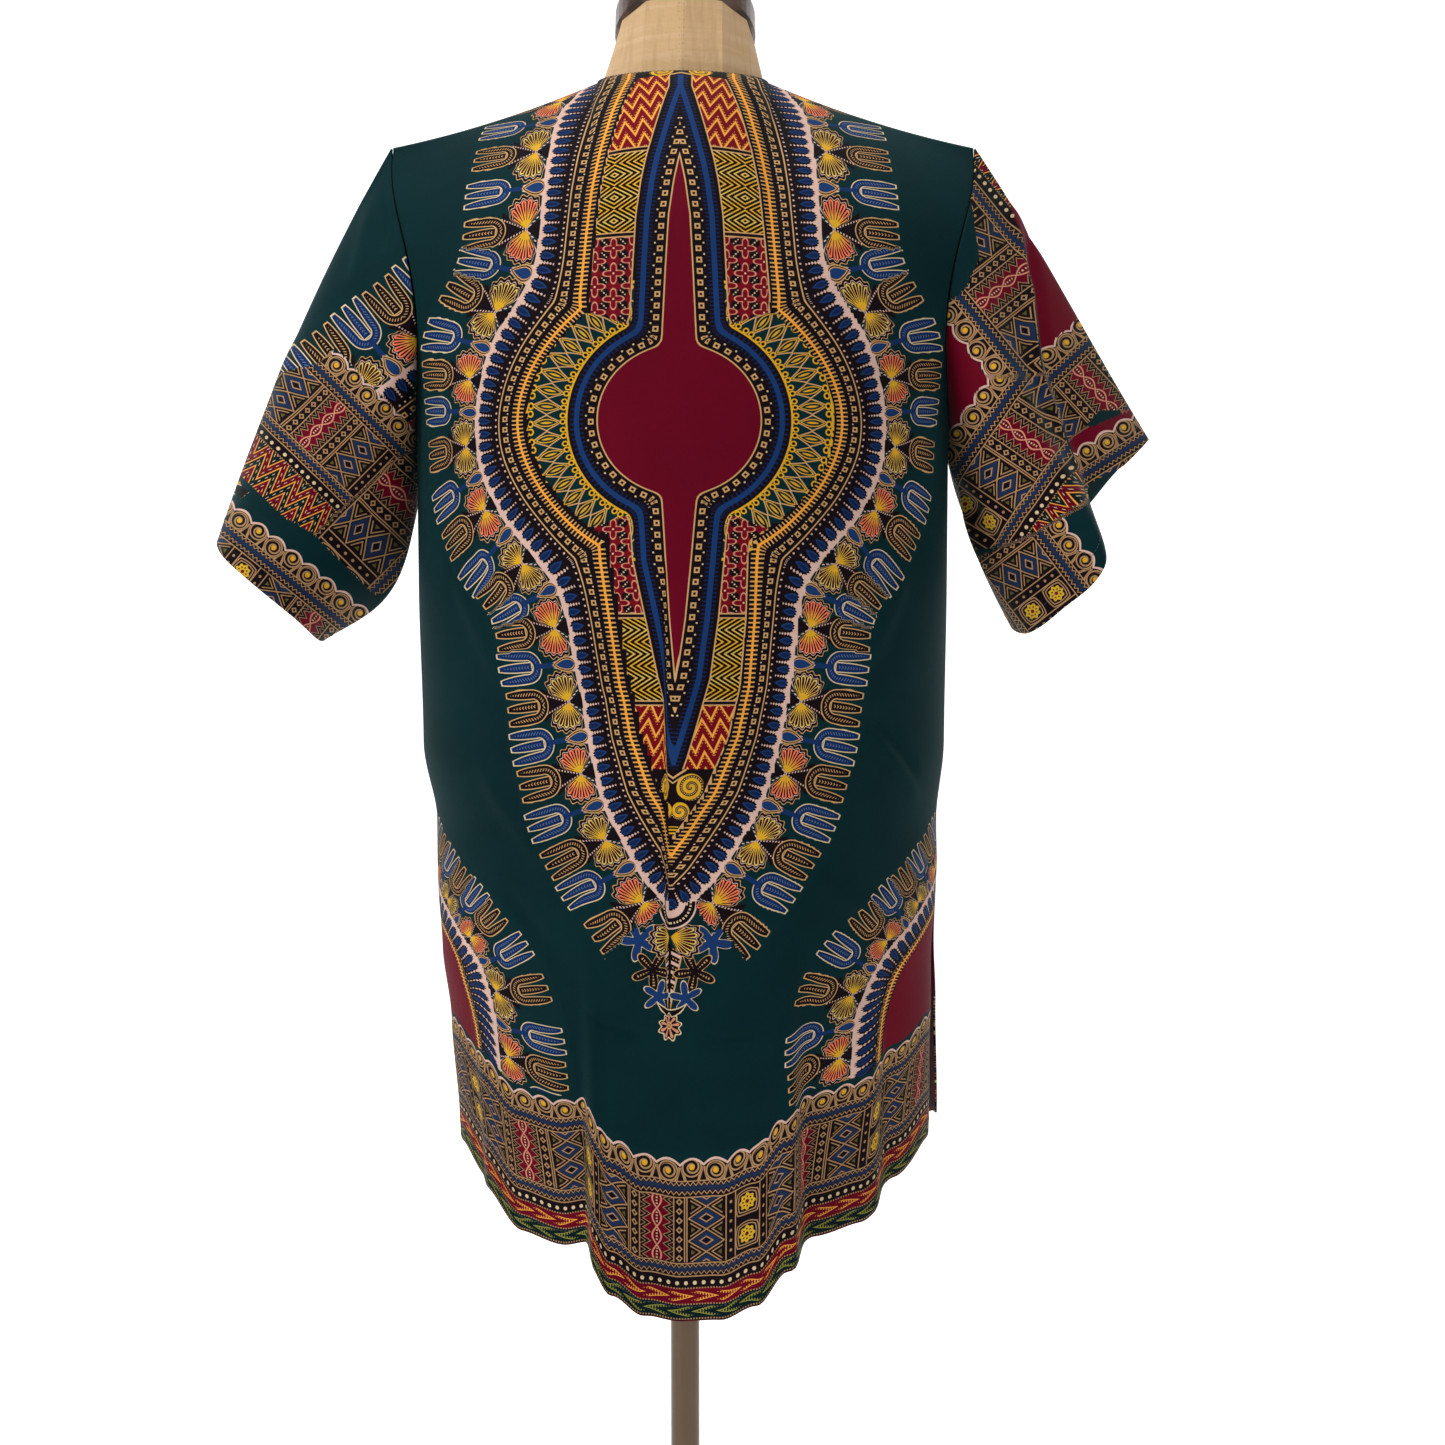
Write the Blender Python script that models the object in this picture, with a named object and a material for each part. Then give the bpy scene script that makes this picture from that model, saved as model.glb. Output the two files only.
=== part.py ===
"""A dashiki shirt on a limbless dress form with a pole and a round base.

Metres, +Z up. The origin is the middle of the base's underside, on the floor. The shirt's back
faces -Y and its V neck faces +Y, so +X is the shirt's right as it is worn.
"""

import math

import bmesh
import bpy
from mathutils import Vector

# The cloth.
CLOTH_THICKNESS = 0.0015
SEAM_GAP = 0.0004

# Heights of the shirt.
HEM_Z = 0.603
SLIT_TOP_Z = 0.870
UNDERARM_Z = 1.170
NECK_BACK_Z = 1.420
NECK_SIDE_Z = 1.429
NECK_FRONT_Z = 1.392
SHOULDER_Z = 1.384

# The ridge of the shoulder is this many degrees short of level, so the cloth falls away from it.
RIDGE_FALL = 24.0

# Widths and depths of the shirt's top edge.
NECK_HALF = 0.0585
NECK_BACK_DEPTH = 0.055
NECK_FRONT_DEPTH = 0.052
SHOULDER_HALF = 0.203

# The share of a panel's half width that the neckline takes, and how far down the V is cut.
NECK_SHARE = 0.30
V_NECK_CUT = 0.62

# How far the armhole is cut into each panel, as degrees round the body.
ARMHOLE_CUT = 27.0

# The side slits open by this much from each panel's edge, at the hem, and the back panel's edges
# are drawn in there, on -X and on +X, so that the front panel shows past them.
SLIT_SPREAD = 0.007
BACK_SLIT_IN = (0.006, 0.013)

# Columns: height, half width on -X, half width on +X, back depth, front depth.
SHIRT_SECTIONS = (
    (0.603, 0.1645, 0.184, 0.139, 0.146),
    (0.700, 0.169, 0.182, 0.136, 0.142),
    (0.780, 0.174, 0.180, 0.133, 0.140),
    (0.850, 0.176, 0.181, 0.130, 0.138),
    (0.910, 0.176, 0.180, 0.129, 0.136),
    (0.970, 0.185, 0.185, 0.129, 0.134),
    (1.080, 0.187, 0.186, 0.130, 0.132),
    (1.170, 0.187, 0.186, 0.131, 0.130),
)

# Folds that run up from the hem. Columns: share of the half panel where the fold is cut, top
# height, depth, half width of its flank as a share of the half panel.
BACK_FOLDS = (
    (-0.620, 0.820, 0.014, 0.040),
    (-0.232, 0.850, 0.024, 0.022),
    (0.275, 0.850, 0.024, 0.022),
    (0.530, 0.820, 0.018, 0.035),
)
FRONT_FOLDS = (
    (-0.340, 0.930, 0.022, 0.030),
    (0.300, 0.900, 0.024, 0.030),
)

# How far the hem rises above its middle. Columns: share of the half panel, rise on -X, on +X.
BACK_HEM_RISE = (
    (0.00, 0.000, 0.000),
    (0.09, 0.005, 0.002),
    (0.17, 0.019, 0.012),
    (0.24, 0.045, 0.034),
    (0.32, 0.041, 0.047),
    (0.45, 0.046, 0.052),
    (0.60, 0.069, 0.072),
    (0.80, 0.087, 0.089),
    (1.00, 0.087, 0.091),
)
FRONT_HEM_RISE = (
    (0.00, 0.000, 0.000),
    (0.25, 0.014, 0.012),
    (0.50, 0.040, 0.040),
    (0.75, 0.072, 0.074),
    (1.00, 0.087, 0.091),
)
HEM_BEND_HEIGHT = 0.36

PANEL_COLUMNS = 24
PANEL_ROWS_BELOW = 13
PANEL_ROWS_ABOVE = 12

# The rim of each sleeve's hem, from its outer tip round the back. Columns: degrees round the
# sleeve, x, y, z.
LEFT_SLEEVE_HEM = (
    (0, -0.3285, 0.000, 1.1115),
    (45, -0.3130, -0.056, 1.1000),
    (90, -0.2900, -0.077, 1.0825),
    (135, -0.2650, -0.058, 1.0575),
    (180, -0.2590, 0.000, 1.0400),
    (225, -0.2700, 0.060, 1.0560),
    (270, -0.2920, 0.080, 1.0800),
    (315, -0.3140, 0.060, 1.1020),
)
RIGHT_SLEEVE_HEM = (
    (0, 0.3400, 0.045, 1.186),
    (32, 0.312, 0.000, 1.164),
    (62, 0.278, -0.030, 1.142),
    (90, 0.281, -0.082, 1.092),
    (130, 0.254, -0.077, 1.062),
    (180, 0.2385, -0.035, 1.046),
    (225, 0.236, 0.015, 1.058),
    (270, 0.272, 0.056, 1.100),
    (315, 0.315, 0.070, 1.156),
)

# How far a sleeve's lines leave the straight at a third and two thirds of their length, outward
# and upward, along its top and along its underside. Left sleeve, then right sleeve.
SLEEVE_TOP_SLACK = (((0.010, 0.006), (0.010, 0.004)), ((0.002, 0.006), (0.000, -0.002)))
SLEEVE_UNDER_SLACK = (((-0.020, -0.064), (-0.014, -0.020)), ((-0.007, -0.020), (-0.008, -0.008)))

# How far a sleeve starts from the armhole's edge: over the shoulder, and under the arm where it
# lies against the side of the body.
SLEEVE_TOP_OUT = 0.0010
SLEEVE_UNDER_OUT = 0.0020
SLEEVE_AROUND = 36
SLEEVE_ALONG = 10

# The dress form. Columns as for the shirt.
FORM_BOTTOM_Z = 0.760
FORM_SECTIONS = (
    (0.760, 0.150, 0.150, 0.108, 0.088),
    (0.800, 0.160, 0.160, 0.116, 0.094),
    (0.860, 0.163, 0.163, 0.117, 0.096),
    (0.960, 0.135, 0.135, 0.094, 0.084),
    (1.030, 0.118, 0.118, 0.082, 0.078),
    (1.100, 0.132, 0.132, 0.098, 0.100),
    (1.170, 0.158, 0.158, 0.112, 0.120),
)
FORM_SHOULDER_CLEAR = 0.0
FORM_NECK_CLEAR = 0.0034
FORM_SHOULDER_HALF = 0.1925
FORM_ARMHOLE_CUT = 34.0
FORM_COLUMNS = 20
FORM_ROWS_BELOW = 11
FORM_ROWS_ABOVE = 10
NECK_TOP_X = 0.0015
NECK_TOP_Z = 1.457
NECK_TOP_RADIUS = 0.0480
NECK_TILT = math.radians(22.0)
NECK_RINGS = 4

# The hard pieces.
HARD_GAP = 0.0003
CAP_RADIUS = 0.0490
CAP_HEIGHT = 0.020
CAP_DOME = 0.010
POLE_RADIUS = 0.0105
BASE_RADIUS = 0.170
BASE_THICKNESS = 0.010
HUB_RADIUS = 0.026
HUB_TOP_Z = 0.055
SOCKET_FLOOR_Z = 0.020
ROUND_SEGMENTS = 48

BACK, FRONT = -1, 1


def mix(a, b, share):
    return a + (b - a) * share


def smooth(share):
    share = min(1.0, max(0.0, share))
    return share * share * (3 - 2 * share)


def at_height(sections, z):
    """The widths and depths at a height, read smoothly between the rows of a table."""
    z = min(max(z, sections[0][0]), sections[-1][0])
    for low, high in zip(sections, sections[1:]):
        if z <= high[0]:
            share = smooth((z - low[0]) / (high[0] - low[0]))
            return [mix(a, b, share) for a, b in zip(low[1:], high[1:])]
    return list(sections[-1][1:])


def section_point(sections, side, degrees, z):
    """x and depth of a horizontal section, at an angle from the middle of the back or front."""
    half_left, half_right, back, front = at_height(sections, z)
    angle = math.radians(degrees)
    half = half_right if degrees > 0 else half_left
    depth = back if side == BACK else front
    return half * math.sin(angle), depth * math.cos(angle)


def top_edge(side, across, shoulder_half):
    """x, depth and height of the neckline and the shoulder seam, at a share of the half panel."""
    size = abs(across)
    sign = math.copysign(1, across)
    if size < NECK_SHARE:
        angle = math.radians(90 * size / NECK_SHARE)
        middle_z = NECK_BACK_Z if side == BACK else NECK_FRONT_Z
        deep = NECK_BACK_DEPTH if side == BACK else NECK_FRONT_DEPTH
        return (
            sign * NECK_HALF * math.sin(angle),
            deep * math.cos(angle),
            mix(NECK_SIDE_Z, middle_z, math.cos(angle)),
        )
    share = (size - NECK_SHARE) / (1 - NECK_SHARE)
    drop = 1.35 * share - 0.35 * share**2
    return sign * mix(NECK_HALF, shoulder_half, share), 0.0, mix(NECK_SIDE_Z, SHOULDER_Z, drop)


def upper_point(sections, side, across, rise, armhole_cut, shoulder_half):
    """A point between the underarm level, rise 0, and the shoulder seam or neckline, rise 1."""
    reach = 90 - armhole_cut * max(0.0, math.sin(math.pi * rise)) ** 0.8
    low_x, low_depth = section_point(sections, side, across * reach, UNDERARM_Z)
    top_x, top_depth, top_z = top_edge(side, across, shoulder_half)
    toward_neck = smooth(1 - abs(across) / (1.6 * NECK_SHARE))
    last = math.radians(90 - RIDGE_FALL * (1 - toward_neck))
    turn = rise * last
    depth_fall = max(0.0, (math.cos(turn) - math.cos(last)) / (1 - math.cos(last)))
    depth_fall **= mix(0.80, 1.08, toward_neck)
    height_rise = (math.sin(turn) / math.sin(last)) ** mix(0.96, 1.10, toward_neck)
    return (
        mix(low_x, top_x, smooth(rise)),
        top_depth + (low_depth - top_depth) * depth_fall,
        mix(UNDERARM_Z, top_z, height_rise),
    )


def hem_rise(side, across):
    rises = at_height(BACK_HEM_RISE if side == BACK else FRONT_HEM_RISE, abs(across))
    return rises[across > 0]


def fold_push(side, across, z):
    """How far the cloth stands out or in where a fold is cut: out on its middle side."""
    pushed = 0.0
    for place, top, depth, flank in BACK_FOLDS if side == BACK else FRONT_FOLDS:
        if z >= top:
            continue
        strength = smooth((top - z) / (top - HEM_Z)) * depth
        outward = (across - place) * math.copysign(1, place)
        step = smooth((outward + flank) / (2 * flank))
        fade = 1 - smooth(outward / (1 - abs(place))) if outward > 0 else 1
        middle = smooth(1 + outward / (abs(place) + flank))
        pushed += strength * (mix(0.45 * middle, -0.55, step) if outward < flank else -0.55 * fade)
    return pushed


def lower_point(side, across, level):
    """A point of the shirt at a nominal level between the hem and the underarm."""
    x, depth = section_point(SHIRT_SECTIONS, side, across * 90, level)
    bend = 1 - smooth((level - HEM_Z) / HEM_BEND_HEIGHT)
    slit = max(0.0, (SLIT_TOP_Z - level) / (SLIT_TOP_Z - HEM_Z)) * SLIT_SPREAD
    z = level + hem_rise(side, across) * bend
    push = fold_push(side, across, level)
    outward = math.cos(math.radians(across * 90))
    lean = math.sin(math.radians(across * 90))
    x += push * lean * 0.3
    if side == BACK:
        x -= BACK_SLIT_IN[across > 0] * slit / SLIT_SPREAD * across**5
    return x, depth + slit + push * outward, z


def shirt_point(side, across, level):
    """A point on the middle of the cloth. Levels 0 to 1 run from the hem to the underarm, and
    1 to 2 on to the shoulder."""
    if level <= 1:
        x, depth, z = lower_point(side, across, mix(HEM_Z, UNDERARM_Z, level))
    else:
        rise = level - 1
        if side == FRONT and abs(across) < NECK_SHARE:
            rise *= 1 - V_NECK_CUT * (1 - abs(across) / NECK_SHARE)
        x, depth, z = upper_point(
            SHIRT_SECTIONS, side, across, rise, ARMHOLE_CUT, SHOULDER_HALF
        )
    return Vector((x, side * (depth + SEAM_GAP / 2), z))


def panel_columns(folds):
    """Shares of the half panel for the grid's columns: even, with more at the folds' flanks."""
    even = [mix(-1, 1, i / PANEL_COLUMNS) for i in range(PANEL_COLUMNS + 1)]
    flanks = [
        place + flank * step for place, _, _, flank in folds for step in (-1, -0.33, 0.33, 1)
    ]
    edges = [-NECK_SHARE, NECK_SHARE]
    kept = [
        c
        for c in even
        if all(abs(c - other) > 0.02 for other in edges)
        and all(abs(c - place) > 1.5 * flank for place, _, _, flank in folds)
    ]
    return sorted(kept + edges + flanks)


def panel_grid(side):
    columns = panel_columns(BACK_FOLDS if side == BACK else FRONT_FOLDS)
    levels = [i / PANEL_ROWS_BELOW for i in range(PANEL_ROWS_BELOW)]
    levels += [1 + i / PANEL_ROWS_ABOVE for i in range(PANEL_ROWS_ABOVE + 1)]
    return [[shirt_point(side, across, level) for across in columns] for level in levels]


def grid_normals(grid, closed):
    """Unit normals of a grid of points, from the neighbours along its rows and columns. Where a
    panel ends on the plane of its seams they lie in that plane, so that its edge is square."""
    rows, columns = len(grid), len(grid[0])
    normals = []
    for i in range(rows):
        line = []
        for j in range(columns):
            up = grid[min(i + 1, rows - 1)][j] - grid[max(i - 1, 0)][j]
            if closed:
                along = grid[i][(j + 1) % columns] - grid[i][j - 1]
            else:
                along = grid[i][min(j + 1, columns - 1)] - grid[i][max(j - 1, 0)]
            normal = along.cross(up)
            if not closed and abs(grid[i][j].y) <= SEAM_GAP * 0.51:
                normal.y = 0
            line.append(normal.normalized())
        normals.append(line)
    return normals


def wall(name, grid, closed, material):
    """A closed solid of cloth thickness round a grid of middle points, whose normals face out."""
    normals = grid_normals(grid, closed)
    mesh = bmesh.new()
    skins = []
    for step in (0.5, -0.5):
        skins.append(
            [
                [mesh.verts.new(p + n * step * CLOTH_THICKNESS) for p, n in zip(*line)]
                for line in zip(grid, normals)
            ]
        )
    rows, columns = len(grid), len(grid[0])
    spans = columns if closed else columns - 1
    for skin, turned in zip(skins, (False, True)):
        for i in range(rows - 1):
            for j in range(spans):
                k = (j + 1) % columns
                corners = [skin[i][j], skin[i][k], skin[i + 1][k], skin[i + 1][j]]
                mesh.faces.new(corners[::-1] if turned else corners)
    outer, inner = skins
    for i, turned in ((0, True), (rows - 1, False)):
        for j in range(spans):
            k = (j + 1) % columns
            corners = [outer[i][j], outer[i][k], inner[i][k], inner[i][j]]
            mesh.faces.new(corners[::-1] if turned else corners)
    if not closed:
        for j, turned in ((0, False), (columns - 1, True)):
            for i in range(rows - 1):
                corners = [outer[i][j], outer[i + 1][j], inner[i + 1][j], inner[i][j]]
                mesh.faces.new(corners[::-1] if turned else corners)
    return finish(name, mesh, material)


def finish(name, mesh, material):
    """Makes the object from a bmesh, with its faces pointing out and shaded smooth."""
    bmesh.ops.recalc_face_normals(mesh, faces=mesh.faces)
    data = bpy.data.meshes.new(name)
    mesh.to_mesh(data)
    mesh.free()
    data.materials.append(material)
    data.shade_smooth()
    obj = bpy.data.objects.new(name, data)
    bpy.context.scene.collection.objects.link(obj)
    return obj


def loop_point(table, degrees):
    """A point on the smooth closed curve through a table's rows."""
    count = len(table)
    degrees %= 360
    for i in range(count):
        start = table[i][0]
        end = table[i + 1][0] if i + 1 < count else 360
        if start <= degrees <= end:
            share = (degrees - start) / (end - start)
            before, here, there, after = (
                Vector(table[(i + step) % count][1:]) for step in (-1, 0, 1, 2)
            )
            return 0.5 * (
                2 * here
                + (there - before) * share
                + (2 * before - 5 * here + 4 * there - after) * share**2
                + (3 * here - before - 3 * there + after) * share**3
            )
    return Vector(table[0][1:])


def armhole_point(sign, degrees):
    """A point of the armhole, from the shoulder down its back edge and up its front edge."""
    side = BACK if degrees <= 180 else FRONT
    rise = 1 - degrees / 180 if side == BACK else degrees / 180 - 1
    point = shirt_point(side, sign, 1 + rise)
    under = min(1.0, 0.8 * (1 - math.cos(math.radians(degrees))))
    point.x += sign * mix(SLEEVE_TOP_OUT, SLEEVE_UNDER_OUT, under)
    if degrees == 180:
        point.y = 0.0
    return point


def sleeve_point(sign, table, degrees, along):
    """A point of a sleeve, from the armhole, along 0, to its hem, along 1."""
    start = armhole_point(sign, degrees)
    end = loop_point(table, degrees)
    top = (1 + math.cos(math.radians(degrees))) / 2
    line = [start, start.lerp(end, 1 / 3), start.lerp(end, 2 / 3), end]
    which = 0 if sign < 0 else 1
    for i in (0, 1):
        out, up = (
            mix(low, high, top)
            for low, high in zip(SLEEVE_UNDER_SLACK[which][i], SLEEVE_TOP_SLACK[which][i])
        )
        line[i + 1] += Vector((sign * out, 0, up))
    left = 1 - along
    return (
        line[0] * left**3
        + line[1] * 3 * left**2 * along
        + line[2] * 3 * left * along**2
        + line[3] * along**3
    )


def sleeve_grid(sign, table):
    """The sleeve's middle points, with each row running round so that its normals face out."""
    turns = [360 * j / SLEEVE_AROUND for j in range(SLEEVE_AROUND)]
    rows = [i / SLEEVE_ALONG for i in range(SLEEVE_ALONG + 1)]
    if sign < 0:
        rows.reverse()
    return [[sleeve_point(sign, table, turn, along) for turn in turns] for along in rows]


def form_ring(level):
    """A ring round the dress form. Levels 0 to 1 end at the underarm and 1 to 2 at the neck."""
    ring = []
    for side in (BACK, FRONT):
        for j in range(FORM_COLUMNS + 1):
            across = mix(-1, 1, j / FORM_COLUMNS) * -side
            if level <= 1:
                z = mix(FORM_BOTTOM_Z, UNDERARM_Z, level)
                x, depth = section_point(FORM_SECTIONS, side, across * 90, z)
            else:
                x, depth, z = upper_point(
                    FORM_SECTIONS, side, across, level - 1, FORM_ARMHOLE_CUT, FORM_SHOULDER_HALF
                )
                near_neck = smooth(1 - abs(across) / (2 * NECK_SHARE))
                clear = mix(FORM_SHOULDER_CLEAR, FORM_NECK_CLEAR, near_neck)
                clear *= smooth((level - 1) * 1.5)
                x *= 1 - clear / NECK_HALF
                depth = max(0.0, depth - clear)
                z -= clear
            ring.append(Vector((x, side * depth, z)))
    return ring


def strip(mesh, low, high):
    """Joins two rings of vertices with quads, round and closed."""
    count = len(low)
    for j in range(count):
        k = (j + 1) % count
        mesh.faces.new((low[j], low[k], high[k], high[j]))


def build_form(material):
    """The cloth-covered torso and neck, one smooth solid with flat arm plates."""
    mesh = bmesh.new()
    levels = [i / FORM_ROWS_BELOW for i in range(FORM_ROWS_BELOW)]
    levels += [1 + i / FORM_ROWS_ABOVE for i in range(FORM_ROWS_ABOVE + 1)]
    rings = [[mesh.verts.new(p) for p in form_ring(level)] for level in levels]
    for low, high in zip(rings, rings[1:]):
        strip(mesh, low, high)
    mesh.faces.new(rings[0])
    bmesh.ops.remove_doubles(mesh, verts=mesh.verts, dist=1e-5)
    bmesh.ops.dissolve_degenerate(mesh, edges=mesh.edges, dist=1e-6)
    neck = sorted(
        {v for e in mesh.edges if e.is_boundary for v in e.verts},
        key=lambda v: math.atan2(v.co.y, v.co.x),
    )
    base = [v.co.copy() for v in neck]
    for i in range(NECK_RINGS):
        share = (i + 1) / NECK_RINGS
        ring = []
        for point in base:
            angle = math.atan2(point.y, point.x)
            x, y = NECK_TOP_RADIUS * math.cos(angle), NECK_TOP_RADIUS * math.sin(angle)
            top = Vector((x, y * math.cos(NECK_TILT), NECK_TOP_Z - y * math.sin(NECK_TILT)))
            top.x += NECK_TOP_X
            ring.append(mesh.verts.new(point.lerp(top, share)))
        strip(mesh, neck, ring)
        neck = ring
    mesh.faces.new(neck)
    return finish("form_torso", mesh, material)


def turned(name, profile, material):
    """A round solid from a profile of radius and height, from its axis below to its axis above."""
    mesh = bmesh.new()
    points = [mesh.verts.new((radius, 0, z)) for radius, z in profile]
    edges = [mesh.edges.new(pair) for pair in zip(points, points[1:])]
    bmesh.ops.spin(
        mesh,
        geom=points + edges,
        cent=(0, 0, 0),
        axis=(0, 0, 1),
        angle=math.tau,
        steps=ROUND_SEGMENTS,
        use_merge=True,
    )
    bmesh.ops.remove_doubles(mesh, verts=mesh.verts, dist=1e-6)
    obj = finish(name, mesh, material)
    obj.data.set_sharp_from_angle(angle=math.radians(35))
    return obj


def build_cap(material):
    """The turned wooden cap on the neck, tilted as the neck's top is."""
    dome = [
        (CAP_RADIUS * math.cos(a), CAP_HEIGHT + CAP_DOME * math.sin(a))
        for a in (math.radians(15 * i) for i in range(6))
    ]
    profile = [(0, 0), (CAP_RADIUS - 0.002, 0), (CAP_RADIUS, 0.003)] + dome
    profile.append((0, CAP_HEIGHT + CAP_DOME))
    cap = turned("form_neck_cap", profile, material)
    cap.rotation_euler.x = -NECK_TILT
    up = Vector((0, math.sin(NECK_TILT), math.cos(NECK_TILT)))
    cap.location = Vector((NECK_TOP_X, 0, NECK_TOP_Z)) + up * HARD_GAP
    return cap


def build_pole(material):
    length = FORM_BOTTOM_Z - SOCKET_FLOOR_Z - 2 * HARD_GAP
    profile = [(0, 0), (POLE_RADIUS, 0), (POLE_RADIUS, length), (0, length)]
    pole = turned("form_pole", profile, material)
    pole.location.z = SOCKET_FLOOR_Z + HARD_GAP
    return pole


def build_base(material):
    """The flat round base, with a hub whose socket holds the pole."""
    socket = POLE_RADIUS + HARD_GAP
    profile = [
        (0, 0),
        (BASE_RADIUS, 0),
        (BASE_RADIUS, BASE_THICKNESS - 0.003),
        (BASE_RADIUS - 0.004, BASE_THICKNESS),
        (HUB_RADIUS + 0.012, BASE_THICKNESS + 0.003),
        (HUB_RADIUS, BASE_THICKNESS + 0.012),
        (HUB_RADIUS - 0.005, HUB_TOP_Z - 0.002),
        (HUB_RADIUS - 0.007, HUB_TOP_Z),
        (socket, HUB_TOP_Z),
        (socket, SOCKET_FLOOR_Z),
        (0, SOCKET_FLOOR_Z),
    ]
    return turned("form_base", profile, material)


def finish_of(name, colour, roughness, metallic=0.0):
    material = bpy.data.materials.new(name)
    material.use_nodes = True
    shader = material.node_tree.nodes["Principled BSDF"]
    shader.inputs["Base Color"].default_value = (*colour, 1)
    shader.inputs["Roughness"].default_value = roughness
    shader.inputs["Metallic"].default_value = metallic
    return material


def group(name, pieces):
    """Parents pieces to one empty at the origin."""
    empty = bpy.data.objects.new(name, None)
    bpy.context.scene.collection.objects.link(empty)
    for piece in pieces:
        piece.parent = empty


def main():
    for obj in list(bpy.data.objects):
        bpy.data.objects.remove(obj)
    back_cotton = finish_of("green_print_back", (0.015, 0.075, 0.075), 0.6)
    front_cotton = finish_of("green_print_front", (0.015, 0.075, 0.075), 0.6)
    left_cotton = finish_of("border_print", (0.10, 0.07, 0.05), 0.6)
    right_cotton = finish_of("wine_print", (0.16, 0.01, 0.04), 0.6)
    linen = finish_of("linen_cover", (0.62, 0.47, 0.28), 0.8)
    dark_wood = finish_of("dark_wood", (0.06, 0.03, 0.025), 0.35)
    steel = finish_of("brushed_steel", (0.42, 0.38, 0.34), 0.35, 1.0)
    plate = finish_of("painted_plate", (0.05, 0.05, 0.05), 0.45)
    shirt = [
        wall("shirt_back", panel_grid(BACK), False, back_cotton),
        wall("shirt_front", panel_grid(FRONT), False, front_cotton),
        wall("sleeve_left", sleeve_grid(-1, LEFT_SLEEVE_HEM), True, left_cotton),
        wall("sleeve_right", sleeve_grid(1, RIGHT_SLEEVE_HEM), True, right_cotton),
    ]
    stand = [build_form(linen), build_cap(dark_wood), build_pole(steel), build_base(plate)]
    group("shirt", shirt)
    group("dress_form", stand)


main()
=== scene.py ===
"""The looks of a dashiki shirt on a limbless dress form, in the order it is put together."""

import math

import bpy
import numpy as np
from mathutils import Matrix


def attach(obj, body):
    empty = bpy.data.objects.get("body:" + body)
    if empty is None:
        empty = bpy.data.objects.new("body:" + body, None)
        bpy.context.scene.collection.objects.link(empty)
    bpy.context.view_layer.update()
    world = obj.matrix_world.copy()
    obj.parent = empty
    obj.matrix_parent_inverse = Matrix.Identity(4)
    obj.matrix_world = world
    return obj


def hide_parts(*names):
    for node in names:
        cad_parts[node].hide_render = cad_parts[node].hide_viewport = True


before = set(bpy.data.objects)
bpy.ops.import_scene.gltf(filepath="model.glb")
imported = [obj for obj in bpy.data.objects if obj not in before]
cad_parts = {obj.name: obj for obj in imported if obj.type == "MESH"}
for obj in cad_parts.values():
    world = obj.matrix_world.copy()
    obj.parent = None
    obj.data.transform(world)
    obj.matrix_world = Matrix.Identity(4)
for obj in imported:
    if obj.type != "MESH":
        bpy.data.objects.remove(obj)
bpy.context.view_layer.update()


# The base. A round steel plate with a turned hub, sprayed with black textured paint. The paint
# has rubbed thin at the rim and round the hub, where the stand is moved about.
PAINT_BLACK = (0.016, 0.015, 0.015)
PAINT_RUBBED = (0.085, 0.078, 0.070)


def feed(tree, place, value):
    """Links an amount or a socket to an input of a node, or sets a plain value on it."""
    value = value.socket if isinstance(value, Amount) else value
    if isinstance(value, bpy.types.NodeSocket):
        tree.links.new(value, place)
    else:
        place.default_value = value


def new_node(tree, kind, inputs=(), **settings):
    """A node with its settings made, and its inputs linked or set."""
    node = tree.nodes.new(kind)
    for key, value in settings.items():
        setattr(node, key, value)
    for socket, value in dict(inputs).items():
        feed(tree, node.inputs[socket], value)
    return node


class Amount:
    """A number that a material works out at each point, so that sums can be written as sums."""

    def __init__(self, tree, socket):
        self.tree, self.socket = tree, socket

    def by(self, operation, *others):
        node = self.tree.nodes.new("ShaderNodeMath")
        node.operation = operation
        for place, value in zip(node.inputs, (self, *others)):
            feed(self.tree, place, value)
        return Amount(self.tree, node.outputs[0])

    def __add__(self, other):
        return self.by("ADD", other)

    def __sub__(self, other):
        return self.by("SUBTRACT", other)

    def __rsub__(self, other):
        return self.by("MULTIPLY_ADD", -1.0, other)

    def __mul__(self, other):
        return self.by("MULTIPLY", other)

    __radd__ = __add__

    def __truediv__(self, other):
        return self.by("DIVIDE", other)

    def __lt__(self, other):
        return self.by("LESS_THAN", other)

    def __gt__(self, other):
        return self.by("GREATER_THAN", other)

    def __and__(self, other):
        return self.by("MULTIPLY", other)

    def __or__(self, other):
        return self.by("MAXIMUM", other)

    def __abs__(self):
        return self.by("ABSOLUTE")

    def near(self, middle, half):
        """1 where this is within half of a middle value, and 0 elsewhere."""
        return self.by("COMPARE", middle, half)

    def repeat(self, period):
        """The place inside a repeat, from minus half the period to half the period."""
        return self.by("WRAP", period / 2, -period / 2)

    def folded(self, half_period):
        """The distance from the middle of the nearest repeat, mirrored at each half period."""
        return self.by("PINGPONG", half_period)

    def ramp(self, low, high):
        """0 up to a low value and 1 from a high one, with a straight slope between."""
        return self.by("SUBTRACT", low).by("DIVIDE", high - low).by("MINIMUM", 1.0).by(
            "MAXIMUM", 0.0
        )


def distance(u, v):
    return (u * u + v * v).by("SQRT")


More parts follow.
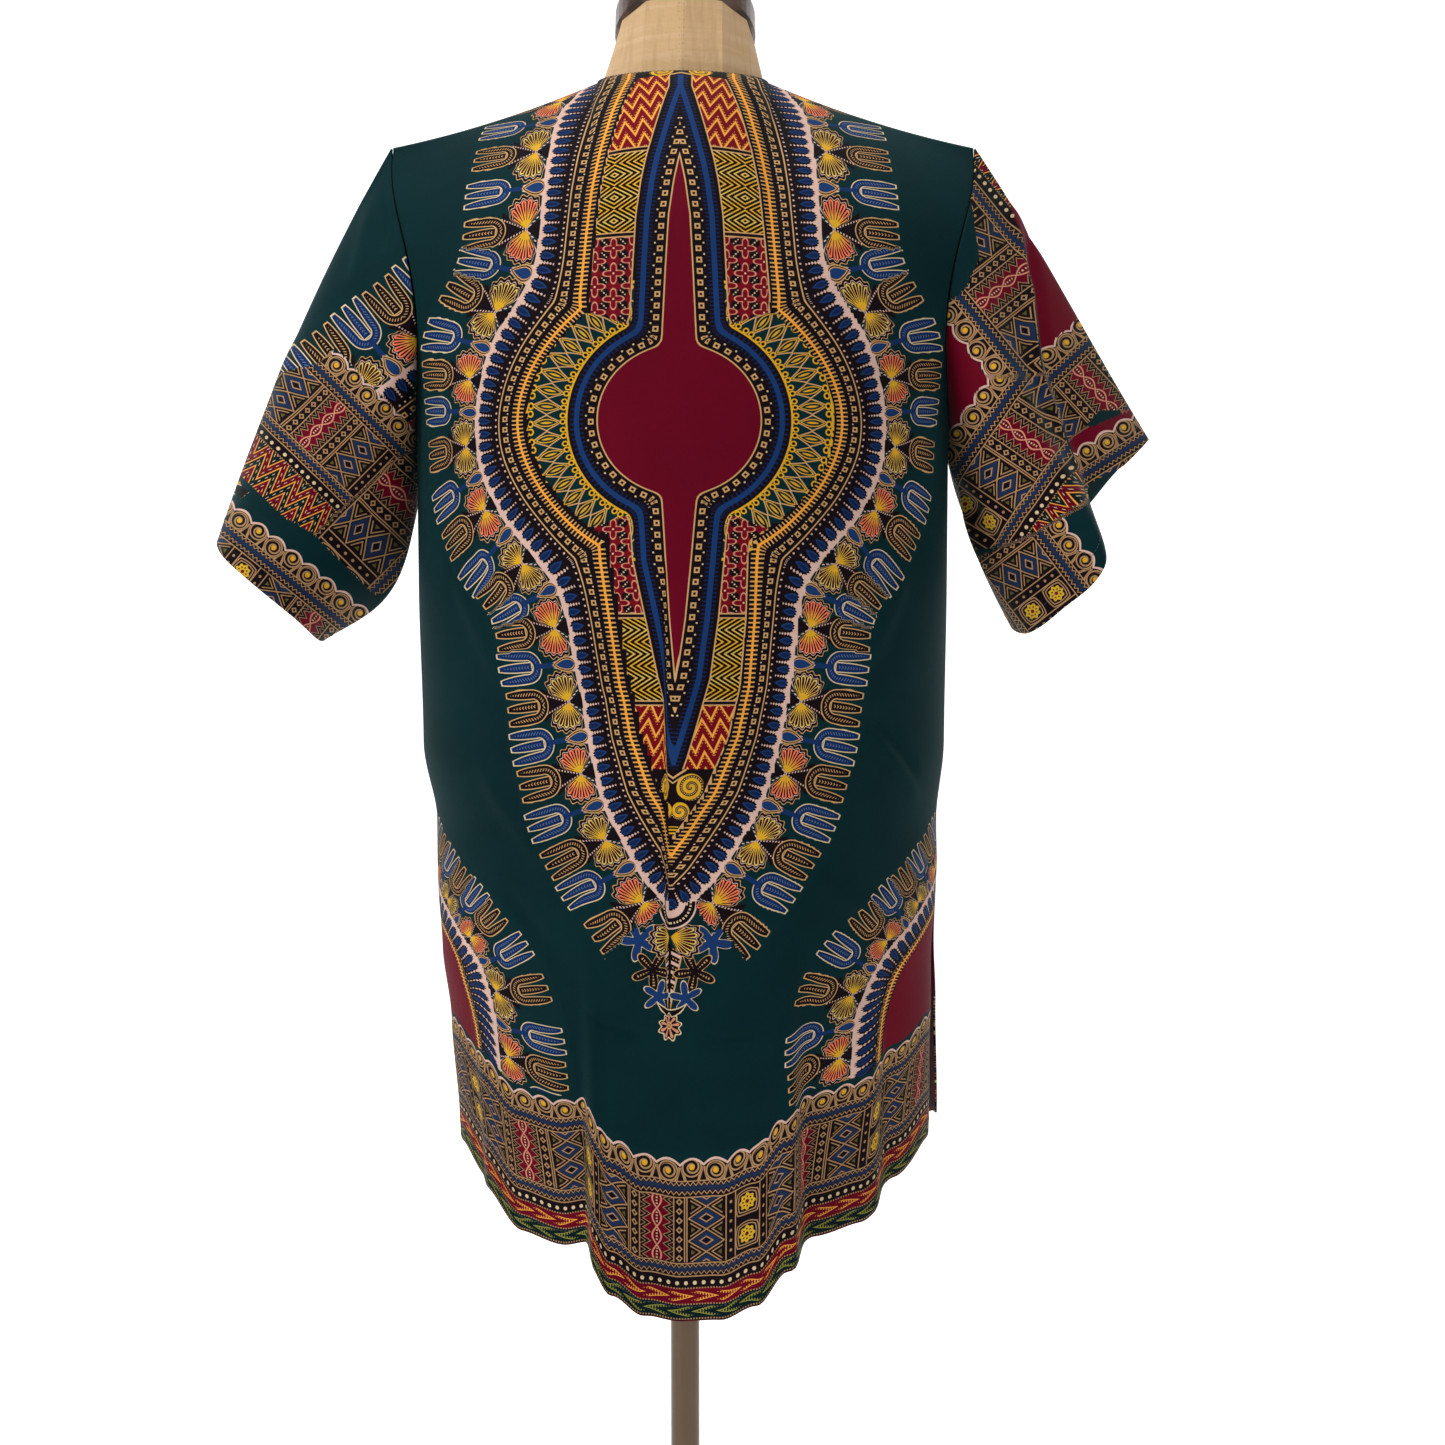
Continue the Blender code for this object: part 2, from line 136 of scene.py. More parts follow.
class Finish:
    """A material in the making: a ground colour, what is painted on it, and its surface."""

    def __init__(self, name, ground, **sockets):
        self.material = bpy.data.materials.new(name)
        self.material.use_nodes = True
        self.tree = self.material.node_tree
        self.shader = self.tree.nodes["Principled BSDF"]
        for socket, value in sockets.items():
            self.shader.inputs[socket.replace("_", " ")].default_value = value
        self.colour = (*ground, 1)
        self.read = {}

    def node(self, kind, inputs=(), **settings):
        return new_node(self.tree, kind, inputs, **settings)

    def feed(self, place, value):
        feed(self.tree, place, value)

    def parts(self, socket):
        split = self.node("ShaderNodeSeparateXYZ", {0: socket})
        return [Amount(self.tree, out) for out in split.outputs]

    def place(self):
        """x, y and z of the point, in metres."""
        if "place" not in self.read:
            coordinates = self.node("ShaderNodeTexCoord")
            self.read["place"] = coordinates.outputs["Object"]
        return self.read["place"]

    def field(self, name):
        """The two or three numbers that the cloth's mesh holds under a name."""
        if name not in self.read:
            attribute = self.node("ShaderNodeAttribute", attribute_name=name)
            self.read[name] = self.parts(attribute.outputs["Vector"])
        return self.read[name]

    def noise(self, scale, stretch=(1, 1, 1), detail=2.0, at=None):
        """Soft random variation, from 0 to 1, finer with scale and drawn out by stretch."""
        mapping = self.node("ShaderNodeMapping", {"Vector": at or self.place(), "Scale": stretch})
        texture = self.node(
            "ShaderNodeTexNoise",
            {"Vector": mapping.outputs[0], "Scale": scale, "Detail": detail},
        )
        return Amount(self.tree, texture.outputs[0])

    def paint(self, mask, colour):
        """Lays a colour over what is there, where the mask is 1."""
        over = self.node("ShaderNodeMix", {0: mask}, data_type="RGBA")
        under, top = self.colour, (*colour, 1) if isinstance(colour, tuple) else colour
        self.feed(over.inputs[6], under)
        self.feed(over.inputs[7], top)
        self.colour = over.outputs[2]

    def patch(self, where, ground, *coats):
        """Paints a place: its ground, unless that is None, and then each coat over it, which is a
        mask and a colour."""
        if ground is not None:
            self.paint(where, ground)
        for mask, colour in coats:
            self.paint(where & mask, colour)

    def blend(self, share, low, high):
        """A colour between two, as a socket that paint() takes."""
        node = self.node("ShaderNodeMix", {0: share}, data_type="RGBA")
        for place, colour in ((6, low), (7, high)):
            self.feed(node.inputs[place], (*colour, 1) if isinstance(colour, tuple) else colour)
        return node.outputs[2]

    def shade(self, share, low, high):
        """Darkens or lightens what is painted, between two strengths."""
        strength = share * (high - low) + low
        under = self.colour[:3] if isinstance(self.colour, tuple) else self.colour
        node = self.node("ShaderNodeVectorMath", {0: under, "Scale": strength}, operation="SCALE")
        self.colour = node.outputs[0]

    def surface(self, height, depth, roughness=None):
        """Ends the material: its relief in metres, and where it is rough or smooth."""
        bump = self.node("ShaderNodeBump", {"Height": height, "Distance": depth, "Strength": 1.0})
        self.feed(self.shader.inputs["Normal"], bump.outputs[0])
        if roughness is not None:
            self.feed(self.shader.inputs["Roughness"], roughness)
        self.feed(self.shader.inputs["Base Color"], self.colour)
        return self.material


def dress(node, material):
    """Gives a carried-over CAD node its material."""
    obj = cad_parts[node]
    obj.data.materials.clear()
    obj.data.materials.append(material)
    return obj


# Where the paint is rubbed: the radii at the rim and at the hub, and the hub's heights.
RUBBED_RIM, RUBBED_HUB, RUBBED_HUB_TOP = (0.160, 0.169), (0.034, 0.024), (0.045, 0.054)
paint = Finish("painted_plate", PAINT_BLACK, Specular_IOR_Level=0.45)
grain = paint.noise(900)
patches = paint.noise(22, detail=5.0)
x, y, z = paint.parts(paint.place())
radius = distance(x, y)
hub = radius.ramp(*RUBBED_HUB) & z.ramp(*RUBBED_HUB_TOP)
paint.paint((radius.ramp(*RUBBED_RIM) | hub) & patches.ramp(0.48, 0.66), PAINT_RUBBED)
paint.shade(patches, 0.7, 1.4)
dress("form_base", paint.surface(grain, 0.00006, patches * 0.25 + 0.33))


# The pole. A drawn steel tube, brushed along its length and lacquered, pressed into the base's
# hub. It runs up into the torso, and only the part below the shirt's hem shows.
STEEL = (0.115, 0.082, 0.055)
steel = Finish("brushed_steel", STEEL, Metallic=1.0)
brushing = steel.noise(60, (18, 18, 0.25), 4.0)
smears = steel.noise(14, detail=4.0)
steel.shade(smears, 0.75, 1.15)
dress("form_pole", steel.surface(brushing, 0.00003, brushing * 0.22 + 0.22))


# The torso and neck. Moulded paper and foam, covered in natural linen that is pulled tight and
# sewn up the middle of the back and front. The weave shows a few thick yarns both ways.
LINEN = (0.740, 0.475, 0.235)
LINEN_THIN_AND_GROOVE_SHADE = (0.540, 0.330, 0.150)
LINEN_PALE = (0.860, 0.620, 0.360)
SEAM_SHADE = (0.300, 0.170, 0.080)
YARNS_ROUND, YARN_SPACING = 900, 0.00085
SEAM_SWAY, SEAM_HALF = 0.0008, 0.0003
HOLE_SPACING, HOLE_ASIDE, HOLE_RADIUS = 0.0055, 0.0013, 0.0005

linen = Finish("linen_cover", LINEN, Roughness=0.86, Sheen_Weight=0.15)
x, y, z = linen.parts(linen.place())
turn = y.by("ARCTAN2", x)
upright = (turn * YARNS_ROUND / math.tau).folded(0.5) * 2
level = (z / YARN_SPACING).folded(0.5) * 2
thick_level = linen.noise(260, (0.05, 0.05, 1.0), 3.0)
thick_upright = linen.noise(240, (1.0, 1.0, 0.05), 3.0)
clouds = linen.noise(9, detail=3.0)
linen.paint(thick_level.ramp(0.42, 0.70) * 0.55, LINEN_PALE)
linen.paint(thick_upright.ramp(0.50, 0.72) * 0.5, LINEN_THIN_AND_GROOVE_SHADE)
linen.shade(upright * level, 0.88, 1.06)
linen.shade(clouds, 0.90, 1.10)
seam = x + linen.noise(70) * (2 * SEAM_SWAY) - SEAM_SWAY
groove = abs(seam) < SEAM_HALF
hole_x = seam - ((z.repeat(2 * HOLE_SPACING) > 0) * (2 * HOLE_ASIDE) - HOLE_ASIDE)
# The seam's groove is painted darker and its stitch holes dark brown: painted shade in these recesses,
# over the groove's relief.
linen.paint(groove * 0.45, LINEN_THIN_AND_GROOVE_SHADE)
linen.paint((distance(hole_x, z.repeat(HOLE_SPACING)) < HOLE_RADIUS) * 0.8, SEAM_SHADE)
weave = upright * 0.4 + level * 0.4 + thick_level * 0.8 + thick_upright * 0.7 - groove * 1.2
dress("form_torso", linen.surface(weave, 0.00022))


# The neck cap. A disc of dark stained wood, turned on a lathe and waxed, pinned over the neck's
# top. Its rings follow the turning and the grain runs across it.
WALNUT = (0.038, 0.017, 0.010)
WALNUT_PALE = (0.120, 0.056, 0.032)
WALNUT_DARK = (0.012, 0.006, 0.005)
CAP_Z, CAP_TILT = 1.457, math.radians(22.0)
wood = Finish("dark_wood", WALNUT, Coat_Weight=0.35, Coat_Roughness=0.22)
tilted = wood.node(
    "ShaderNodeMapping",
    {"Vector": wood.place(), "Location": (0, 0, -CAP_Z), "Rotation": (CAP_TILT, 0, 0)},
).outputs[0]
figure = wood.noise(38, (0.35, 3.0, 3.0), 5.0, at=tilted)
pores = wood.noise(300, (0.08, 1.0, 1.0), 2.0, at=tilted)
wood.paint(figure.ramp(0.46, 0.62) * 0.7, WALNUT_PALE)
wood.paint(pores.ramp(0.56, 0.70) * 0.8, WALNUT_DARK)
dress("form_neck_cap", wood.surface(pores, 0.00008, figure * 0.2 + 0.24))


# The back panel. Wax-printed cotton, cut in one straight length with the neck and the armholes
# cut out, hemmed along the bottom and sewn to the front at the shoulders and down the sides to
# the top of the slits. Its sizes are those of the part's solid, to the cloth's middle.
CLOTH_THICKNESS = 0.0015
SEAM_GAP = 0.0004
HEM_Z = 0.603
SLIT_TOP_Z = 0.870
UNDERARM_Z = 1.170
NECK_BACK_Z = 1.420
NECK_SIDE_Z = 1.429
NECK_FRONT_Z = 1.392
SHOULDER_Z = 1.384
RIDGE_FALL = 24.0
NECK_HALF = 0.0585
NECK_BACK_DEPTH = 0.055
NECK_FRONT_DEPTH = 0.052
SHOULDER_HALF = 0.203
NECK_SHARE = 0.30
V_NECK_CUT = 0.62
ARMHOLE_CUT = 27.0
SLIT_SPREAD = 0.007
BACK_SLIT_IN = (0.006, 0.013)
HEM_BEND_HEIGHT = 0.36
BACK, FRONT = -1, 1

# How much the shoulder's line bows, how round the armhole is cut, how far beside the neck the
# cloth still takes its form, and the curves of its depth and height, at the shoulder and neck.
SHOULDER_BOW, ARMHOLE_ROUND, NECK_BLEND = 0.35, 0.8, 1.6
FALL_CURVE, HEIGHT_CURVE = (0.80, 1.08), (0.96, 1.10)

# Columns: height, half width on -X, half width on +X, back depth, front depth.
SHIRT_SECTIONS = (
    (0.603, 0.1645, 0.184, 0.139, 0.146),
    (0.700, 0.169, 0.182, 0.136, 0.142),
    (0.780, 0.174, 0.180, 0.133, 0.140),
    (0.850, 0.176, 0.181, 0.130, 0.138),
    (0.910, 0.176, 0.180, 0.129, 0.136),
    (0.970, 0.185, 0.185, 0.129, 0.134),
    (1.080, 0.187, 0.186, 0.130, 0.132),
    (1.170, 0.187, 0.186, 0.131, 0.130),
)

# Folds that run up from the hem. Columns: share of the half panel, top height, depth, half
# width of the flank as a share of the half panel.
FOLDS = {
    BACK: (
        (-0.620, 0.820, 0.014, 0.040),
        (-0.232, 0.850, 0.024, 0.022),
        (0.275, 0.850, 0.024, 0.022),
        (0.530, 0.820, 0.018, 0.035),
    ),
    FRONT: ((-0.340, 0.930, 0.022, 0.030), (0.300, 0.900, 0.024, 0.030)),
}

# How far the hem rises above its middle. Columns: share of the half panel, rise on -X, on +X.
HEM_RISE = {
    BACK: (
        (0.00, 0.000, 0.000),
        (0.09, 0.005, 0.002),
        (0.17, 0.019, 0.012),
        (0.24, 0.045, 0.034),
        (0.32, 0.041, 0.047),
        (0.45, 0.046, 0.052),
        (0.60, 0.069, 0.072),
        (0.80, 0.087, 0.089),
        (1.00, 0.087, 0.091),
    ),
    FRONT: (
        (0.00, 0.000, 0.000),
        (0.25, 0.014, 0.012),
        (0.50, 0.040, 0.040),
        (0.75, 0.072, 0.074),
        (1.00, 0.087, 0.091),
    ),
}


def mix(a, b, share):
    return a + (b - a) * share


def smooth(share):
    share = np.clip(share, 0.0, 1.0)
    return share * share * (3 - 2 * share)


def at_height(table, z):
    """The columns of a table at a height, read smoothly between its rows."""
    rows = np.array(table)
    z = np.clip(z, rows[0, 0], rows[-1, 0])
    i = np.clip(np.searchsorted(rows[:, 0], z, side="right") - 1, 0, len(rows) - 2)
    share = smooth((z - rows[i, 0]) / (rows[i + 1, 0] - rows[i, 0]))
    return [mix(rows[i, k], rows[i + 1, k], share) for k in range(1, rows.shape[1])]


def section_point(side, degrees, z):
    half_left, half_right, back, front = at_height(SHIRT_SECTIONS, z)
    angle = np.radians(degrees)
    half = np.where(degrees > 0, half_right, half_left)
    return half * np.sin(angle), (back if side == BACK else front) * np.cos(angle)


def upper_point(side, across, rise):
    """A point from the underarm level, rise 0, to the shoulder seam or neckline, rise 1."""
    size, sign = np.abs(across), np.where(across < 0, -1.0, 1.0)
    angle = np.radians(90 * np.minimum(size / NECK_SHARE, 1))
    middle_z = NECK_BACK_Z if side == BACK else NECK_FRONT_Z
    deep = NECK_BACK_DEPTH if side == BACK else NECK_FRONT_DEPTH
    share = np.clip((size - NECK_SHARE) / (1 - NECK_SHARE), 0, 1)
    drop = (1 + SHOULDER_BOW) * share - SHOULDER_BOW * share**2
    neck = size < NECK_SHARE
    top_x = sign * np.where(
        neck, NECK_HALF * np.sin(angle), mix(NECK_HALF, SHOULDER_HALF, share)
    )
    top_depth = np.where(neck, deep * np.cos(angle), 0.0)
    top_z = np.where(
        neck, mix(NECK_SIDE_Z, middle_z, np.cos(angle)), mix(NECK_SIDE_Z, SHOULDER_Z, drop)
    )
    reach = 90 - ARMHOLE_CUT * np.maximum(0.0, np.sin(np.pi * rise)) ** ARMHOLE_ROUND
    low_x, low_depth = section_point(side, across * reach, UNDERARM_Z)
    toward_neck = smooth(1 - size / (NECK_BLEND * NECK_SHARE))
    last = np.radians(90 - RIDGE_FALL * (1 - toward_neck))
    turn = rise * last
    fall = np.maximum(0.0, (np.cos(turn) - np.cos(last)) / (1 - np.cos(last)))
    fall **= mix(*FALL_CURVE, toward_neck)
    height = (np.sin(turn) / np.sin(last)) ** mix(*HEIGHT_CURVE, toward_neck)
    return (
        mix(low_x, top_x, smooth(rise)),
        top_depth + (low_depth - top_depth) * fall,
        mix(UNDERARM_Z, top_z, height),
    )


# On a fold's middle side the cloth stands out, and past its flank it is drawn in, by these shares
# of the fold's depth. It also slips sideways by a share of that.
FOLD_OUT, FOLD_IN, FOLD_SLIP = 0.45, 0.55, 0.3


def fold_push(side, across, z):
    """How far the cloth stands out or in where a fold is cut: out on its middle side."""
    pushed = np.zeros_like(across)
    for place, top, depth, flank in FOLDS[side]:
        strength = smooth((top - z) / (top - HEM_Z)) * depth
        outward = (across - place) * math.copysign(1, place)
        step = smooth((outward + flank) / (2 * flank))
        fade = np.where(outward > 0, 1 - smooth(outward / (1 - abs(place))), 1.0)
        middle = smooth(1 + outward / (abs(place) + flank))
        near = mix(FOLD_OUT * middle, -FOLD_IN, step)
        pushed += strength * np.where(outward < flank, near, -FOLD_IN * fade)
    return pushed


def lower_point(side, across, z):
    """A point between the hem and the underarm level, where z is its height before the hem's
    rise is added."""
    x, depth = section_point(side, across * 90, z)
    bend = 1 - smooth((z - HEM_Z) / HEM_BEND_HEIGHT)
    slit = np.maximum(0.0, (SLIT_TOP_Z - z) / (SLIT_TOP_Z - HEM_Z)) * SLIT_SPREAD
    left, right = at_height(HEM_RISE[side], np.abs(across))
    push = fold_push(side, across, z)
    angle = np.radians(across * 90)
    x = x + push * np.sin(angle) * FOLD_SLIP
    if side == BACK:
        draw_in = np.where(across > 0, BACK_SLIT_IN[1], BACK_SLIT_IN[0])
        x = x - draw_in * slit / SLIT_SPREAD * across**5
    return x, depth + slit + push * np.cos(angle), z + np.where(across > 0, right, left) * bend


def shirt_point(side, across, level):
    """Points on the middle of the cloth. Levels 0 to 1 run from the hem to the underarm, and 1
    to 2 on to the shoulder."""
    across, level = np.broadcast_arrays(np.asarray(across, float), np.asarray(level, float))
    low = lower_point(side, across, mix(HEM_Z, UNDERARM_Z, np.minimum(level, 1)))
    high = upper_point(side, across, np.maximum(level - 1, 0))
    x, depth, z = (np.where(level <= 1, a, b) for a, b in zip(low, high))
    return np.stack((x, side * (depth + SEAM_GAP / 2), z), -1)


# The print is laid out in steps of about 0.64 mm: y runs down the middle of the back, from the
# neck to the hem, and x runs along the cloth from the middle. Its large outlines are placed as
# seen by the camera, which stands at EYE.
EYE = np.array((0.0275, -1.23, 1.069))
EYE_PITCH = math.radians(4.08)
STEPS_PER_RADIAN, PICTURE_SIZE = 1719.0, 1445


def seen(points):
    """Where points stand in the camera's picture, and how far they are from it."""
    out = points - EYE
    depth = out[..., 1] * math.cos(EYE_PITCH) - out[..., 2] * math.sin(EYE_PITCH)
    rise = out[..., 1] * math.sin(EYE_PITCH) + out[..., 2] * math.cos(EYE_PITCH)
    aside = np.stack((out[..., 0] / depth, -rise / depth), -1)
    return PICTURE_SIZE / 2 + STEPS_PER_RADIAN * aside, depth


# Up to this share of the way from the underarm to the shoulder, x passes from a length along
# the cloth to a distance straight across.
STRAIGHT_BY = 0.3
LEVELS = np.linspace(0, 2, 401)
MIDDLE_SEEN, MIDDLE_DEPTH = seen(shirt_point(BACK, 0.0, LEVELS))


def print_place(points, columns, level):
    """x and y in the print of a grid of points whose rows are levels of a panel."""
    step = np.interp(np.minimum(level, 1), LEVELS, MIDDLE_DEPTH) / STEPS_PER_RADIAN
    spans = np.linalg.norm(np.diff(points, axis=1), axis=2)
    run = np.concatenate((np.zeros((len(points), 1)), np.cumsum(spans, axis=1)), 1)
    middle = np.array([np.interp(0.0, columns, row) for row in run])
    x = mix((run - middle[:, None]) / step, points[..., 0] / step, smooth((level - 1) / STRAIGHT_BY))
    rises = np.hypot(*np.moveaxis(np.diff(points[..., 1:], axis=0), 2, 0))
    rise = np.concatenate((np.zeros((1, points.shape[1])), np.cumsum(rises, axis=0)))
    above = (rise - rise[np.argmax(level[:, 0] >= 1 - 1e-9)]) / step
    y = np.interp(np.minimum(level, 1), LEVELS, MIDDLE_SEEN[:, 1])
    return x, y - np.where(level > 1, above, 0)


GUIDE_COLUMNS = np.linspace(-1, 1, 481)
GUIDE_LEVELS = np.repeat(np.linspace(0, 2, 601)[:, None], len(GUIDE_COLUMNS), 1)
GUIDE = shirt_point(BACK, GUIDE_COLUMNS[None, :], GUIDE_LEVELS)
GUIDE_X, GUIDE_Y = print_place(GUIDE, GUIDE_COLUMNS, GUIDE_LEVELS)
GUIDE_SEEN = seen(GUIDE)[0]

# How far the print's middle has drifted from the panel's middle. Columns: y, drift.
DRIFT = ((0, 0), (500, 0), (620, -2), (762, -6), (846, -9), (1030, -12), (1330, -12))


def laid(points):
    """Turns points of a motif, as seen beside its middle line, into places in the print."""
    found = []
    for x, y in points:
        drift = np.interp(y, *zip(*DRIFT))
        middle = np.interp(y, MIDDLE_SEEN[::-1, 1], MIDDLE_SEEN[::-1, 0])
        gap = np.abs(GUIDE_SEEN - (middle + drift + x, y)).sum(-1)
        i, j = np.unravel_index(np.argmin(gap), gap.shape)
        found.append((GUIDE_X[i, j] - drift, GUIDE_Y[i, j]))
    return found


def curve_between(before, here, there, after, t):
    """Points on the smooth curve through four points, between the two in the middle."""
    return 0.5 * (
        2 * here
        + (there - before) * t
        + (2 * before - 5 * here + 4 * there - after) * t**2
        + (3 * here - before - 3 * there + after) * t**3
    )


def curve_through(points, steps=8):
    """A smooth line through points, as many short pieces."""
    p = np.array(points, float)
    p = np.vstack((2 * p[0] - p[1], p, 2 * p[-1] - p[-2]))
    line = [
        curve_between(*four, t)
        for four in zip(p, p[1:], p[2:], p[3:])
        for t in np.arange(steps) / steps
    ]
    return np.array([*line, p[-2]])


def beside(x, y, line):
    """The run along a line, the distance from it, positive on its left as it goes down, and the
    angle below the level at which it is seen from its nearest point."""
    best = np.full(x.shape, np.inf)
    run, away, angle = (np.zeros(x.shape) for _ in range(3))
    start = 0.0
    for a, b in zip(line, line[1:]):
        d = b - a
        length = math.hypot(*d)
        t = np.clip(((x - a[0]) * d[0] + (y - a[1]) * d[1]) / length**2, 0, 1)
        gap_x, gap_y = x - a[0] - d[0] * t, y - a[1] - d[1] * t
        gap = np.hypot(gap_x, gap_y)
        near = gap < best
        best = np.where(near, gap, best)
        run = np.where(near, start + t * length, run)
        side = np.where(d[0] * (y - a[1]) - d[1] * (x - a[0]) < 0, 1.0, -1.0)
        away = np.where(near, side * gap, away)
        angle = np.where(near, np.arctan2(gap_y, np.abs(gap_x)), angle)
        start += length
    return run, away, angle


# The fringe's figures repeat after this many steps: a pair of fans and a trident stand at each
# whole repeat, and another trident halfway.
REPEAT = 78.0


def feet_runs(feet, line):
    """The runs along a line of the figures that stand on it, with two more at each end."""
    runs = beside(*np.array(laid(feet)).T, line)[0]
    before = runs[0] - (runs[1] - runs[0]) * np.array((2, 1))
    after = runs[-1] + (runs[-1] - runs[-2]) * np.array((1, 2))
    return np.concatenate((before, runs, after))


def on_line(x, y, line, runs, side):
    """Places beside a line with figures on it: the run, in repeats of the figures, the distance
    outside the line, the run again with true widths beside each figure, and the plain run."""
    run, away, angle = beside(x, y, line)
    off = side * away
    cuts = np.diff(line, axis=0)
    lengths = np.hypot(*cuts.T)
    headings = np.arctan2(-side * cuts[:, 0], np.abs(cuts[:, 1]))
    halves = np.interp(np.arange(0, len(runs) - 0.5, 0.5), np.arange(len(runs)), runs)
    facing = np.interp(halves, np.cumsum(lengths) - lengths / 2, headings)
    place, least = np.zeros(x.shape), np.full(x.shape, np.inf)
    for k, (half, heading) in enumerate(zip(halves, facing)):
        aside = run - half + off * (angle - heading)
        near = (np.abs(aside) < least) & (np.abs(run - half) < REPEAT)
        least = np.where(near, np.abs(aside), least)
        beside_figure = np.clip(aside, -REPEAT / 4, REPEAT / 4)
        place = np.where(near, REPEAT * (k / 2 - 2) + beside_figure, place)
    return np.interp(run, runs, REPEAT * (np.arange(len(runs)) - 2)), off, place, run


def joined(first, second, first_off, second_off, upper):
    """The run along two outlines that cross twice, where the first one's is made to agree with
    the second one's at each crossing."""
    for part in (upper, ~upper):
        gap = np.where(part, np.abs(first_off) + np.abs(second_off), np.inf)
        cross = np.unravel_index(np.argmin(gap), gap.shape)
        first = np.where(part, first + second[cross] - first[cross], first)
    return first


# From and to which y outlines are followed: the whole length of the print and a little more.
PRINT_LENGTH = (-60, 1400.0)


def half_width(table, x, y):
    """The run along a figure's outline and the distance outside it, where the figure is so many
    steps wide on each side of the middle at each y."""
    ys, widths = (np.array(column, float) for column in zip(*table))
    width = np.interp(y, ys, widths)
    slope = np.interp(y, (ys[1:] + ys[:-1]) / 2, np.diff(widths) / np.diff(ys))
    fine = np.arange(*PRINT_LENGTH)
    runs = np.cumsum(np.hypot(1, np.gradient(np.interp(fine, ys, widths))))
    return np.interp(y, fine, runs), (x - width) / np.hypot(1, slope)


# The figures of the print. The core is a spindle with a disc in it, the spine is the outline
# round the panels beside it, and the fringe is the outer edge of the pale band. Columns: steps
# from the middle, y. Pairs are the places of the pairs of fans on the fringe.
CORE = ((-23, 86), (0, 157), (5, 180), (10, 215), (13, 268), (16, 330), (16, 505), (12, 560),
        (7, 620), (0, 677), (-23, 762), (-55, 860))
DISC_Y, DISC_RADIUS, DISC_STRETCH = 420.0, 82.0, 1.1
CORE_SOFTNESS = 4.0
SPINE = ((53, 80), (68, 112), (80, 153), (88, 190), (93, 230), (99, 298), (78, 560), (78, 620),
         (73, 687), (64, 737), (42, 794), (12, 840), (-30, 900))
RING_RADIUS, RING_FLATTER, RING_FLAT_FROM = 170.0, 11.0, 100
FRINGE = ((84, 60), (96, 85), (111, 100), (123, 115), (132, 153), (140, 230), (145, 266),
          (160, 299), (184, 336), (200, 380), (205, 425), (200, 470), (180, 515), (151, 550),
          (128, 585), (119, 620), (114, 680), (105, 740), (90, 800), (63, 850), (33, 890), (0, 916))
PAIRS = ((157, 154), (157, 230), (187, 312), (214, 380), (214, 446), (191, 507), (155, 560),
         (130, 627), (121, 700), (112, 774), (81, 838), (39, 899), (0, 925))
SIDE_SPINE = ((256, 926), (233, 964), (218, 1000), (211, 1040), (209, 1078), (210, 1140))
SIDE_FRINGE = ((256, 899), (231, 936), (206, 972), (190, 1010), (184, 1050), (183, 1090),
               (186, 1140))
SIDE_PAIRS = ((245, 897), (217, 939), (185, 996), (172, 1058))
SIDE_FROM_Y = 800
BORDER_TOP = 1158.0

# The rim's full width in steps, and its least. At the sides it has no beads: where its comb line
# ends, at COMB_END, it goes on with what the medallion's rim has from DROPS_START on.
RIM_WIDTH, RIM_LEAST, COMB_END, DROPS_START = 48.5, 12.0, 6.0, 27.0

# How far out from the fringe's line its figures reach. Past the last pair they end after
# LAST_MORE steps, and LAST_LESS sooner where they are over LAST_OUT steps out.
FIGURES_OUT, LAST_OUT, LAST_MORE, LAST_LESS = 92, 40, 30, 10

# Where an inner zone starts, in steps from the edge of the one that it lies in.
MEDALLION_EDGE, CORNER_EDGE, BORDER_EDGE = -9, -7, -3

# The fold beside the middle hides a little of the print. Columns: y, steps hidden; then the
# fold's own y and x. It does so over CREASE_SOFTNESS steps, and where two outlines cross, one's
# run passes into the other's over CROSSING_SOFTNESS steps.
HIDDEN = ((560, 0), (620, 9), (700, 19), (850, 20), (950, 12), (1030, 4), (1060, 0))
HIDING_CREASE = ((500, -14), (600, -14), (900, -4), (1060, 0))
CREASE_SOFTNESS, CROSSING_SOFTNESS = 5.0, 12

MEDALLION, RIM, FANS, BORDER, CORNER, GROUND = range(6)

FRINGE_LINE = curve_through(laid(FRINGE))
SIDE_SPINE_LINE, SIDE_FRINGE_LINE = (
    curve_through([(2 * p[0][0] - p[1][0], 2 * p[0][1] - p[1][1]), *p])
    for p in (laid(SIDE_SPINE), laid(SIDE_FRINGE))
)
PAIR_RUNS = feet_runs(PAIRS, FRINGE_LINE)
SIDE_RUNS = feet_runs(SIDE_PAIRS, SIDE_FRINGE_LINE)
LAST_FIGURE = REPEAT * (len(PAIRS) - 2) + LAST_MORE
CORE_LAID, SPINE_LAID = (laid([(max(w, 0), y) for w, y in table]) for table in (CORE, SPINE))
CORE_WIDTHS = [(place[1], w) for (w, _), place in zip(CORE, CORE_LAID)]
SPINE_WIDTHS = [(place[1], place[0] if w > 0 else w) for (w, _), place in zip(SPINE, SPINE_LAID)]
NECK_END, BOLTS_END, LINES_END = (place[1] for place in laid(((60, 84), (66, 153), (66, 236))))


